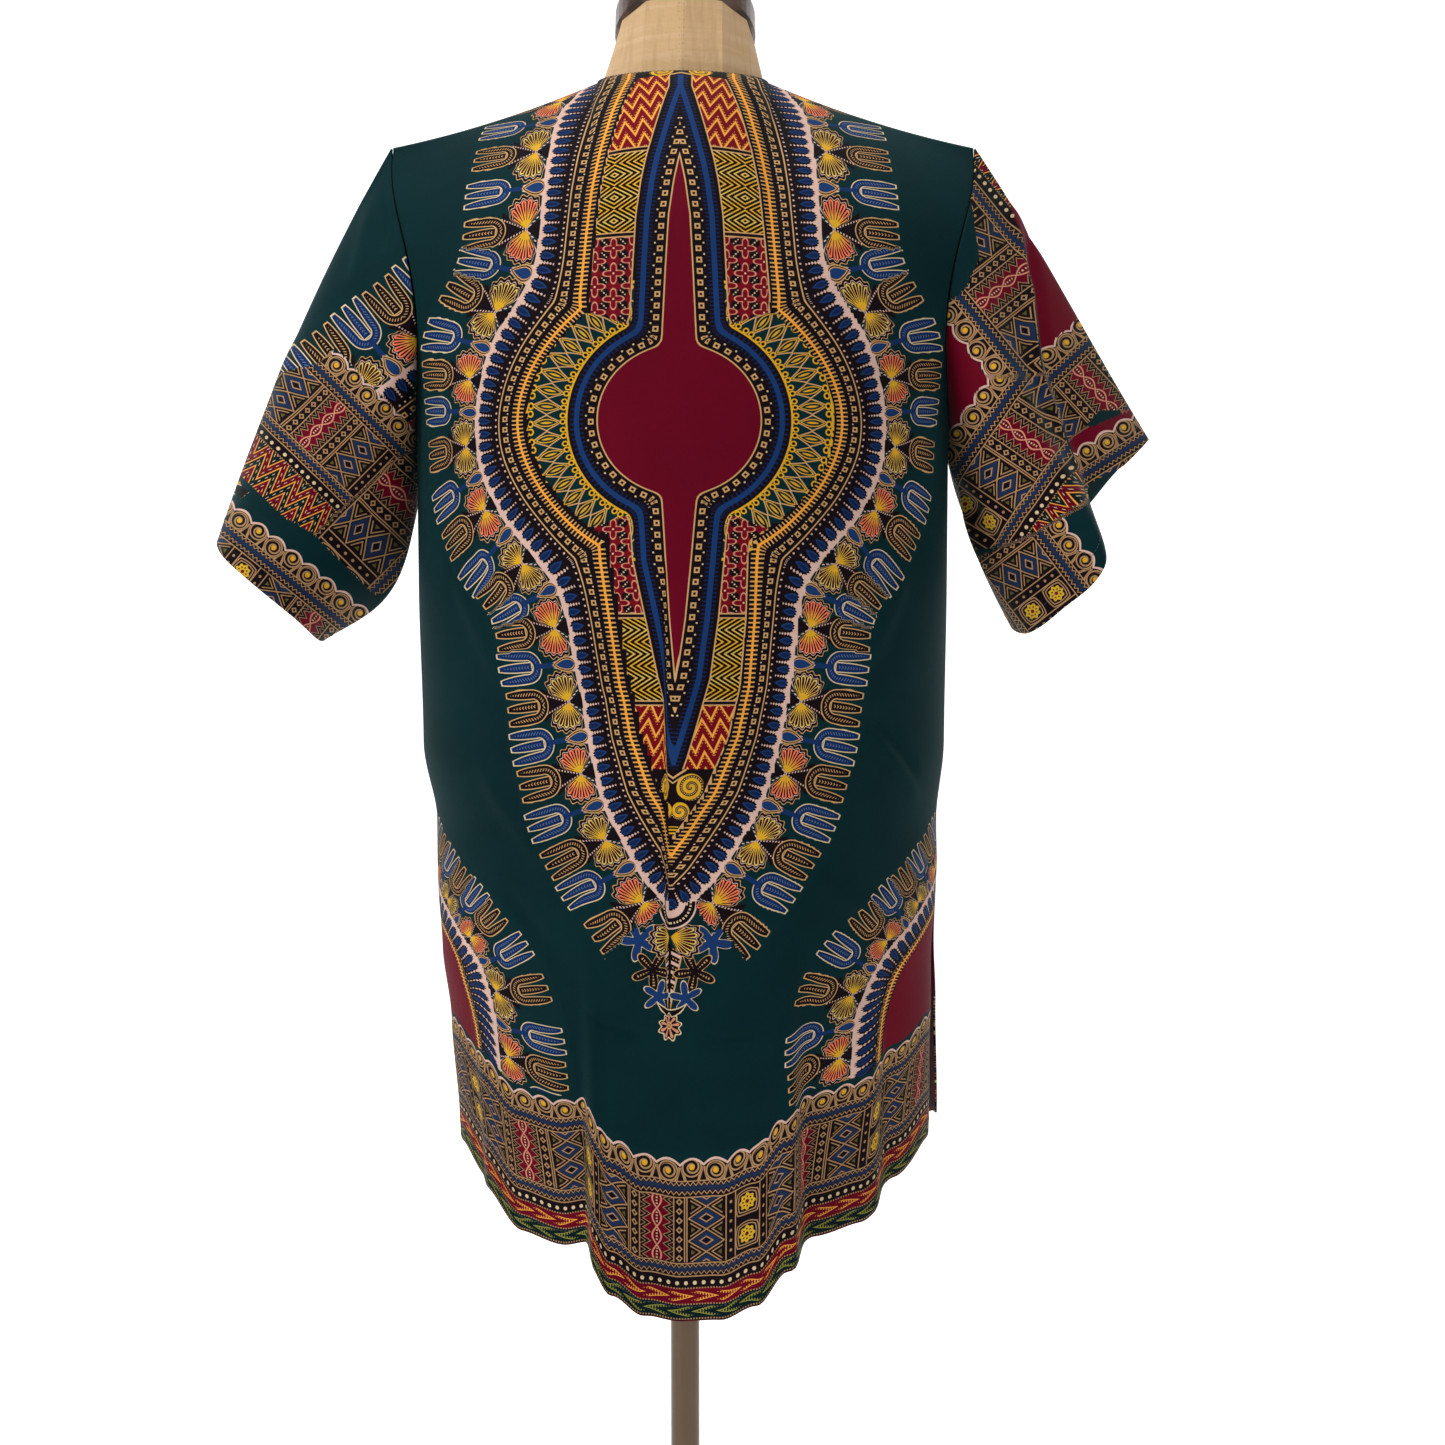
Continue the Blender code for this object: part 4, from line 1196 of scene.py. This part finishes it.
crescent = 5.2 - wide * wide * 0.012 - abs(y - 1014.0 + wide * wide * 0.03) * 1.2
v = y - 1026.0
far = distance(wide, v)
petals = (v.by("ARCTAN2", wide) * 9 - math.pi / 2).by("COSINE") * -1.6 + 11.5 + v * 0.12
green.patch(
    near, None,
    ((crescent > 0) & (wide < 18), CREAM),
    ((crescent > 1.5) & (wide < 16), BLACK),
    (far < petals + 1.4, CREAM),
    (far < petals, BLACK),
    ((far < petals - 1.4) & (petals - v * 0.12 > 11.8), SALMON_PALE),
    ((far < 4.4) & (far.repeat(2.6) > 0), TAN),
)
fan(green, y - 937.0, wide - 1.0, 0.22, 0.0)
green_cotton = woven(green)

# The wrong side, where the dyes come through paler and duller.
wrong = cotton("cotton_wrong_side", dye(28, 52, 54))
run, off, _ = wrong.field("fringe")
wrong.paint(off.near(18, 18), dye(84, 66, 62))
wrong.paint(off < 0, dye(62, 34, 42))
wrong_side = woven(wrong)

DYED = [medallion_cotton, rim_cotton, fringe_cotton, border_cotton, wine_cotton, green_cotton,
        wrong_side]


# Soft creases. Columns: the two ends in the print, half width in steps, height.
BACK_CREASES = (
    ((-14, 560), (-9, 760), 5.0, -0.0016),
    ((-9, 760), (-2, 1010), 6.0, -0.0020),
    ((2, 600), (6, 980), 9.0, 0.0016),
    ((190, 700), (285, 792), 9.0, -0.0028),
    ((200, 728), (290, 822), 8.0, 0.0016),
    ((8, 1036), (96, 1054), 6.0, -0.0020),
    ((-120, 1050), (-12, 1036), 6.0, -0.0016),
    ((-250, 520), (-170, 640), 12.0, -0.0022),
    ((-262, 560), (-180, 700), 12.0, 0.0020),
    ((240, 500), (170, 610), 12.0, -0.0022),
    ((262, 560), (190, 680), 12.0, 0.0020),
    ((-230, 760), (-120, 900), 14.0, 0.0022),
    ((120, 880), (240, 960), 12.0, 0.0018),
    ((-200, 900), (-110, 1010), 12.0, -0.0020),
)
PANEL_COLUMNS, LOWER_ROWS, UPPER_ROWS = 225, 241, 93
CREASE_FADE = 0.3


def creased(points, closed, x, y, creases):
    """Moves a grid of points along its normals, by each crease's depth near its line."""
    push = np.zeros(x.shape)
    for start, end, half, height in creases:
        a, b = np.array(start, float), np.array(end, float)
        d = b - a
        t = ((x - a[0]) * d[0] + (y - a[1]) * d[1]) / (d @ d)
        gap = np.hypot(x - a[0] - d[0] * t, y - a[1] - d[1] * t)
        fade = smooth(t / CREASE_FADE) * smooth((1 - t) / CREASE_FADE)
        push += height * fade * np.exp(-((gap / half) ** 2))
    return points + grid_normals(points, closed) * push[..., None]


def panel(side, creases):
    """The grid of a panel's middle points, with its places in the print."""
    columns = np.linspace(-1, 1, PANEL_COLUMNS)
    upper = np.linspace(1, 2, UPPER_ROWS)[1:]
    across, level = np.meshgrid(columns, [*np.linspace(0, 1, LOWER_ROWS), *upper])
    if side == FRONT:
        cut = 1 - V_NECK_CUT * np.maximum(0, 1 - np.abs(across) / NECK_SHARE)
        level = np.where(level > 1, 1 + (level - 1) * cut, level)
    points = shirt_point(side, across, level)
    x, y = print_place(points, columns, level)
    points = creased(points, False, x, y, creases)
    if side == FRONT:
        points = points[:, ::-1]
        x, y = -x[:, ::-1], y[:, ::-1]
    return points, x, y


# The sewing. The hems and the neck are turned in and stitched by machine with dark thread, 2.2 mm
# of thread at a time, which lies half sunk in the cloth. Rows are counted from the cloth's edge.
STITCH_LENGTH, STITCH_GAP, THREAD_RADIUS, THREAD_LIFT = 0.0022, 0.0006, 0.00024, 0.4
HEM_ROW, NECK_ROW, NECK_MARGIN, SLEEVE_HEM_ROW = 4, -3, 3, 8

sewing = Finish("sewing_thread", dye(22, 40, 42), Roughness=0.6, Sheen_Weight=0.2)
sewing.shade(sewing.noise(700, detail=3.0), 0.7, 1.4)
sewing_thread = sewing.surface(sewing.noise(4000), 0.00004)

stitch_tree = bpy.data.node_groups.new("stitch_rows", "GeometryNodeTree")
for name, way, kind in (
    ("Rows", "INPUT", "NodeSocketGeometry"), ("Stitch length", "INPUT", "NodeSocketFloat"),
    ("Gap", "INPUT", "NodeSocketFloat"), ("Thread radius", "INPUT", "NodeSocketFloat"),
    ("Stitches", "OUTPUT", "NodeSocketGeometry"),
):
    stitch_tree.interface.new_socket(name, in_out=way, socket_type=kind)


def stitch_node(kind, inputs=(), **settings):
    return new_node(stitch_tree, kind, inputs, **settings).outputs


sizes = stitch_node("NodeGroupInput")
pitch = stitch_node("ShaderNodeMath", {0: sizes["Stitch length"], 1: sizes["Gap"]})[0]
half = stitch_node("ShaderNodeMath", {0: sizes["Stitch length"], 1: 0.5}, operation="MULTIPLY")[0]
rows = stitch_node("GeometryNodeMeshToCurve", {"Mesh": sizes["Rows"]})[0]
spots = stitch_node("GeometryNodeCurveToPoints", {"Curve": rows, "Length": pitch}, mode="LENGTH")
bead = stitch_node("GeometryNodeMeshUVSphere", {"Segments": 6, "Rings": 4, "Radius": 1.0})[0]
scale = stitch_node("ShaderNodeCombineXYZ", {
    "X": sizes["Thread radius"], "Y": sizes["Thread radius"], "Z": half})[0]
laid_down = stitch_node("GeometryNodeInstanceOnPoints", {
    "Points": spots["Points"], "Instance": bead, "Rotation": spots["Rotation"], "Scale": scale})[0]
realized = stitch_node("GeometryNodeRealizeInstances", {"Geometry": laid_down})[0]
threaded = stitch_node("GeometryNodeSetMaterial", {
    "Geometry": realized, "Material": sewing_thread})[0]
stitch_node("NodeGroupOutput", {"Stitches": threaded})


def stitched(name, lines):
    """Rows of stitches along lines on the cloth's face, as one plain mesh."""
    vertices, edges = [], []
    for line in lines:
        edges += [(len(vertices) + i, len(vertices) + i + 1) for i in range(len(line) - 1)]
        vertices += line.tolist()
    obj = placed(name, meshed(name, vertices, edges, []))
    modifier = obj.modifiers.new("stitches", "NODES")
    modifier.node_group = stitch_tree
    for socket in stitch_tree.interface.items_tree:
        size = {"Stitch length": STITCH_LENGTH, "Gap": STITCH_GAP, "Thread radius": THREAD_RADIUS}
        if socket.name in size:
            modifier[socket.identifier] = size[socket.name]
    evaluated = obj.evaluated_get(bpy.context.evaluated_depsgraph_get())
    plain = bpy.data.meshes.new_from_object(evaluated)
    obj.modifiers.remove(modifier)
    obj.data = plain
    plain.shade_smooth()
    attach(obj, "root")
    return obj


def cloth_face(points, closed):
    """Where threads lie on a grid of the cloth's middle points."""
    lift = CLOTH_THICKNESS / 2 + THREAD_RADIUS * THREAD_LIFT
    return points + grid_normals(points, closed) * lift


def worn(piece, node, stitches):
    """Puts a piece of cloth under the root, in the place of its solid, and hides the solid. The stitches
    are not used.
    """
    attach(piece, "root")
    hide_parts(node)


def sewn_panel(node, side, creases):
    """A printed panel, stitched along its hem and round the neck."""
    points, x, y = panel(side, creases)
    piece = cloth(node + "_cotton", points, False, *print_fields(x, y), DYED)
    face = cloth_face(points, False)
    neck = int((1 - NECK_SHARE) * 0.5 * (PANEL_COLUMNS - 1)) + NECK_MARGIN
    rows = face[HEM_ROW, 1:-1], face[NECK_ROW, neck:-neck]
    worn(piece, node, stitched(node + "_stitches", rows))


sewn_panel("shirt_back", BACK, BACK_CREASES)


# The front panel. The same cotton and print as the back, with a V cut down from the neck. It is
# sewn to the back at the shoulders and sides.
FRONT_CREASES = (
    ((-60, 300), (-150, 420), 12.0, -0.0020),
    ((60, 300), (150, 420), 12.0, -0.0020),
    ((-250, 520), (-170, 640), 12.0, 0.0020),
    ((250, 520), (170, 640), 12.0, 0.0020),
    ((-30, 560), (-14, 900), 9.0, 0.0018),
    ((150, 700), (60, 860), 10.0, -0.0020),
    ((-200, 760), (-110, 900), 12.0, 0.0020),
)
sewn_panel("shirt_front", FRONT, FRONT_CREASES)


# The sleeves. Short and straight, each cut from one piece of the print's edges and corners, so
# that its strips of border run at a slant. They are set into the armholes and hemmed.
SLEEVE_AROUND, SLEEVE_ALONG = 320, 141
SLEEVE_TOP_OUT, SLEEVE_UNDER_OUT, SLEEVE_UNDER_EARLY = 0.0010, 0.0020, 0.8

# The rim of each sleeve's hem, from its outer tip round the back. Columns: degrees, x, y, z.
LEFT_SLEEVE_HEM = (
    (0, -0.3285, 0.000, 1.1115),
    (45, -0.3130, -0.056, 1.1000),
    (90, -0.2900, -0.077, 1.0825),
    (135, -0.2650, -0.058, 1.0575),
    (180, -0.2590, 0.000, 1.0400),
    (225, -0.2700, 0.060, 1.0560),
    (270, -0.2920, 0.080, 1.0800),
    (315, -0.3140, 0.060, 1.1020),
)
RIGHT_SLEEVE_HEM = (
    (0, 0.3400, 0.045, 1.186),
    (32, 0.312, 0.000, 1.164),
    (62, 0.278, -0.030, 1.142),
    (90, 0.281, -0.082, 1.092),
    (130, 0.254, -0.077, 1.062),
    (180, 0.2385, -0.035, 1.046),
    (225, 0.236, 0.015, 1.058),
    (270, 0.272, 0.056, 1.100),
    (315, 0.315, 0.070, 1.156),
)

# How far a sleeve's lines leave the straight at a third and two thirds of their length, outward
# and upward: under the arm, then over it.
SLACK = {
    -1: (((-0.020, -0.064), (0.010, 0.006)), ((-0.014, -0.020), (0.010, 0.004))),
    1: (((-0.007, -0.020), (0.002, 0.006)), ((-0.008, -0.008), (0.000, -0.002))),
}


def loop_point(table, degrees):
    """Points on the smooth closed curve through a table's rows."""
    rows = np.array(table, float)
    ends = np.append(rows[1:, 0], 360.0)
    i = np.searchsorted(rows[:, 0], degrees, side="right") - 1
    t = ((degrees - rows[i, 0]) / (ends[i] - rows[i, 0]))[:, None]
    return curve_between(*(rows[(i + k) % len(rows), 1:] for k in (-1, 0, 1, 2)), t)


def armhole_point(sign, degrees):
    """Points of the armhole, from the shoulder down its back edge and up its front edge."""
    back = shirt_point(BACK, float(sign), np.clip(2 - degrees / 180, 1, 2))
    front = shirt_point(FRONT, float(sign), np.clip(degrees / 180, 1, 2))
    point = np.where((degrees <= 180)[:, None], back, front)
    under = np.minimum(1.0, SLEEVE_UNDER_EARLY * (1 - np.cos(np.radians(degrees))))
    point[:, 0] += sign * mix(SLEEVE_TOP_OUT, SLEEVE_UNDER_OUT, under)
    point[np.isclose(degrees, 180), 1] = 0.0
    return point


def sleeve_points(sign, table, degrees, along):
    """The grid of a sleeve's middle points, from the armhole, along 0, to its hem, along 1."""
    start, end = armhole_point(sign, degrees), loop_point(table, degrees)
    top = (1 + np.cos(np.radians(degrees))) / 2
    line = [start, mix(start, end, 1 / 3), mix(start, end, 2 / 3), end]
    for i, (low, high) in enumerate(SLACK[sign]):
        line[i + 1][:, 0] += sign * mix(low[0], high[0], top)
        line[i + 1][:, 2] += mix(low[1], high[1], top)
    t, left = along[:, None, None], 1 - along[:, None, None]
    return (
        line[0] * left**3 + line[1] * 3 * left**2 * t + line[2] * 3 * left * t**2 + line[3] * t**3
    )


def within(corners, x, y):
    """Whether places lie inside a polygon."""
    inside = np.zeros(x.shape, bool)
    for (ax, ay), (bx, by) in zip(corners, corners[1:] + corners[:1]):
        if ay != by:
            inside ^= ((ay > y) != (by > y)) & (x < (bx - ax) * (y - ay) / (by - ay) + ax)
    return inside


def border_strip(x, y, start, end, chain, scale):
    """Places in a strip of border, whose scrolled edge runs from start to end. A chain panel
    stands half a PANELS_SHIFT from a given place, on the side where the strip lies."""
    d = np.array(end, float) - start
    d /= np.linalg.norm(d)
    n = np.array((-d[1], d[0]))
    n *= math.copysign(1, (np.array(chain) - start) @ n)
    along = ((x - chain[0]) * d[0] + (y - chain[1]) * d[1]) * scale - PANELS_SHIFT / 2
    return along, ((x - start[0]) * n[0] + (y - start[1]) * n[1]) * scale


# Strips of border: their corners, the two ends of the scrolled edge, a chain panel, the scale,
# and whether wine cloth is beyond the edge.
LEFT_STRIPS = (
    (((268, 412), (280, 374), (319, 362), (336, 346), (421, 435), (421, 447), (399, 457),
      (313, 535), (256, 502), (236, 480), (250, 440)), (334, 346), (417, 428), (334, 422), 1.12, 0),
    (((399, 457), (440, 440), (440, 571), (374, 596), (313, 535)),
     (420, 378), (320, 478), (391, 495), 0.95, 0),
    (((231, 495), (238, 493), (373, 609), (400, 650), (319, 670), (180, 560)),
     (231, 498), (371, 611), (318, 621), 1.12, 0),
)
RIGHT_STRIPS = (
    (((962, 152), (984, 152), (1004, 176), (1014, 226), (1028, 263), (1033, 316), (1037, 377), (986, 377),
      (942, 324), (943, 306), (966, 286), (978, 256)), (942, 322), (986, 377), (1003, 293), 1.05, 1),
    (((986, 377), (1037, 377), (1056, 422), (1066, 448), (1076, 478), (1081, 505), (1033, 535),
      (999, 548), (920, 560), (915, 495), (920, 438), (944, 438)),
     (986, 377), (944, 438), (1014, 438), 1.05, 1),
    (((1081, 505), (1086, 521), (1125, 561), (1125, 600), (1029, 645), (900, 580), (999, 548),
      (1033, 535)), (1069, 525), (1106, 574), (1010, 528), 1.10, 0),
    (((1037, 329), (1049, 342), (1081, 314), (1112, 362), (1150, 412), (1099, 412), (1086, 428),
      (1066, 442), (1056, 422), (1037, 377)), (1049, 342), (1077, 316), (1092, 379), 1.10, 1),
    (((1066, 442), (1086, 428), (1129, 409), (1160, 435), (1086, 501), (1081, 505), (1072, 468)),
     (1072, 450), (1132, 412), (1150, 440), 1.10, 1),
)

# The fringe on the left sleeve: its line, the places of its figures along it, how far out they
# reach, the y where its rim ends, and how far in and down to what y wine cloth lies inside it.
LEFT_FRINGE = ((226, 512), (409, 367), (531, 270))
LEFT_FIGURES = 25.0 + REPEAT * np.arange(-2, 7)
LEFT_FRINGE_OUT, LEFT_FRINGE_LOW, LEFT_WINE_OFF, LEFT_WINE_LOW = 96, 430, -42, 440

# Where the right sleeve has wine cloth besides its strips: the corners of two places.
RIGHT_WINE = (
    ((999, 193), (1014, 226), (1028, 263), (1033, 316), (1038, 332), (1049, 342), (1079, 316),
     (1100, 302), (1050, 229), (1010, 170)),
    ((920, 300), (942, 320), (988, 377), (944, 440), (920, 440)),
)


# Far enough from a line for nothing beside it to be painted.
FAR_OFF = 200.0


def sleeve_fields(sign, x, y, strips):
    """What the print's materials read on a sleeve, and the material of each place."""
    zero, far = np.zeros(x.shape), np.full(x.shape, FAR_OFF)
    fringe = spine = border = (zero, far, zero)
    zone = np.full(x.shape, GROUND)
    if sign < 0:
        line = np.array(LEFT_FRINGE, float)
        run, off, place, plain = on_line(x, y, line, LEFT_FIGURES, 1)
        fringe = run, np.where((off < 0) & (y > LEFT_FRINGE_LOW), far, off), place
        spine = run, off + RIM_WIDTH, plain
        zone[(off > 0) & (off < LEFT_FRINGE_OUT)] = FANS
        zone[(off < 0) & (y < LEFT_FRINGE_LOW)] = RIM
        zone[(off < LEFT_WINE_OFF) & (y < LEFT_WINE_LOW)] = CORNER
    else:
        for corners in RIGHT_WINE:
            zone[within(corners, x, y)] = CORNER
    covered = np.zeros(x.shape, bool)
    for corners, start, end, chain, scale, on_wine in strips:
        inside = within(corners, x, y)
        found = *border_strip(x, y, start, end, chain, scale), 2.0 + on_wine
        border = tuple(np.where(inside, new, old) for new, old in zip(found, border))
        covered |= inside
    covered &= np.roll(covered, -1, 0)
    zone[covered & np.roll(covered, -1, 1)] = BORDER
    fields = {
        "print_place": (x, y, zero),
        "core": (zero, far, zero),
        "spine": spine,
        "fringe": fringe,
        "border": border,
    }
    return fields, zone


LEFT_CREASES = (
    ((392, 172), (382, 260), 5.0, -0.0022),
    ((378, 190), (352, 300), 9.0, 0.0022),
    ((420, 330), (360, 430), 10.0, 0.0018),
    ((300, 330), (270, 480), 12.0, 0.0020),
    ((410, 440), (350, 560), 12.0, -0.0022),
    ((330, 400), (300, 560), 14.0, 0.0020),
)
RIGHT_CREASES = (
    ((1010, 200), (1032, 312), 5.5, 0.0030),
    ((1028, 270), (1038, 400), 6.0, 0.0040),
    ((1034, 360), (1062, 450), 6.0, 0.0045),
    ((1054, 420), (1108, 590), 8.0, 0.0040),
    ((1024, 215), (1052, 400), 6.0, -0.0030),
    ((950, 330), (1000, 380), 7.0, -0.0016),
    ((940, 470), (1010, 560), 10.0, -0.0030),
    ((975, 450), (1050, 545), 9.0, 0.0018),
    ((1000, 400), (1046, 500), 10.0, -0.0018),
)

# The share of a sleeve's length, from the armhole, over which its creases grow to their height.
CREASES_HELD = 0.08

for sign, hem_table, strips, creases, name in (
    (-1, LEFT_SLEEVE_HEM, LEFT_STRIPS, LEFT_CREASES, "sleeve_left"),
    (1, RIGHT_SLEEVE_HEM, RIGHT_STRIPS, RIGHT_CREASES, "sleeve_right"),
):
    degrees = np.arange(SLEEVE_AROUND) * 360.0 / SLEEVE_AROUND
    along = np.linspace(0, 1, SLEEVE_ALONG)[::sign]
    points = sleeve_points(sign, hem_table, degrees, along)
    back = sleeve_points(sign, hem_table, np.minimum(degrees, 360 - degrees), along)
    x, y = np.moveaxis(seen(back)[0], 2, 0)
    held = smooth(along / CREASES_HELD)[:, None, None]
    points = points + (creased(points, True, x, y, creases) - points) * held
    sleeve = cloth(name + "_cotton", points, True, *sleeve_fields(sign, x, y, strips), DYED)
    hem_row = SLEEVE_HEM_ROW if sign < 0 else SLEEVE_ALONG - 1 - SLEEVE_HEM_ROW
    round_hem = cloth_face(points, True)[hem_row]
    stitches = stitched(name + "_stitches", [np.vstack((round_hem, round_hem[:1]))])
    worn(sleeve, name, stitches)


# The floor and backdrop, one sweep of white paper, with two soft lamps at the sides, one above,
# and the room's light.
SWEEP_FRONT, SWEEP_BEND, SWEEP_RADIUS, SWEEP_HEIGHT, SWEEP_HALF = -3.0, 2.2, 1.2, 4.5, 5.0
PAPER_GLOW, ROOM_LIGHT = 0.62, 0.20
LAMPS = (
    ("lamp_left", (-2.1, -1.5, 2.4), 0.8, 44.0),
    ("lamp_right", (2.3, -1.6, 1.7), 1.0, 11.0),
    ("lamp_above", (0.0, -0.2, 3.0), 1.2, 26.0),
)
LAMPS_AIM = (0.0, 0.0, 1.05)
SENSOR_WIDTH = 36.0


def sweep():
    """A floor that curves up into a wall."""
    profile = [(SWEEP_FRONT, 0.0), (SWEEP_BEND, 0.0)]
    profile += [(SWEEP_BEND + math.sin(a) * SWEEP_RADIUS, SWEEP_RADIUS - math.cos(a) * SWEEP_RADIUS)
                for a in np.linspace(0, math.pi / 2, 24)[1:]]
    profile.append((SWEEP_BEND + SWEEP_RADIUS, SWEEP_HEIGHT))
    vertices = [(x, y, z) for y, z in profile for x in (-SWEEP_HALF, SWEEP_HALF)]
    faces = [(2 * i, 2 * i + 1, 2 * i + 3, 2 * i + 2) for i in range(len(profile) - 1)]
    mesh = meshed("paper_sweep", vertices, [], faces)
    mesh.shade_smooth()
    return placed("paper_sweep", mesh)


paper = Finish(
    "white_paper", (0.90, 0.90, 0.90), Roughness=0.9, Emission_Color=(1, 1, 1, 1),
    Emission_Strength=PAPER_GLOW,
)
paper.shade(paper.noise(3.0), 0.99, 1.01)
floor = sweep()
floor.data.materials.append(paper.surface(paper.noise(200), 0.0001))

world = bpy.data.worlds.new("studio")
bpy.context.scene.world = world
world.use_nodes = True
background = world.node_tree.nodes["Background"]
background.inputs["Color"].default_value = (1, 1, 1, 1)
background.inputs["Strength"].default_value = ROOM_LIGHT

for name, place, size, power in LAMPS:
    light = bpy.data.lights.new(name, "AREA")
    light.size, light.energy = size, power
    lamp = placed(name, light)
    lamp.location = place
    aim = np.array(LAMPS_AIM) - np.array(place)
    lamp.rotation_euler = (
        math.atan2(math.hypot(aim[0], aim[1]), -aim[2]), 0, math.atan2(-aim[0], aim[1])
    )

camera = bpy.data.cameras.new("camera")
camera.sensor_width = SENSOR_WIDTH
camera.lens = SENSOR_WIDTH * STEPS_PER_RADIAN / PICTURE_SIZE
eye = placed("camera", camera)
eye.location = EYE
eye.rotation_euler = (math.pi / 2 - EYE_PITCH, 0, 0)
bpy.context.scene.camera = eye
bpy.context.scene.view_settings.view_transform = "Standard"
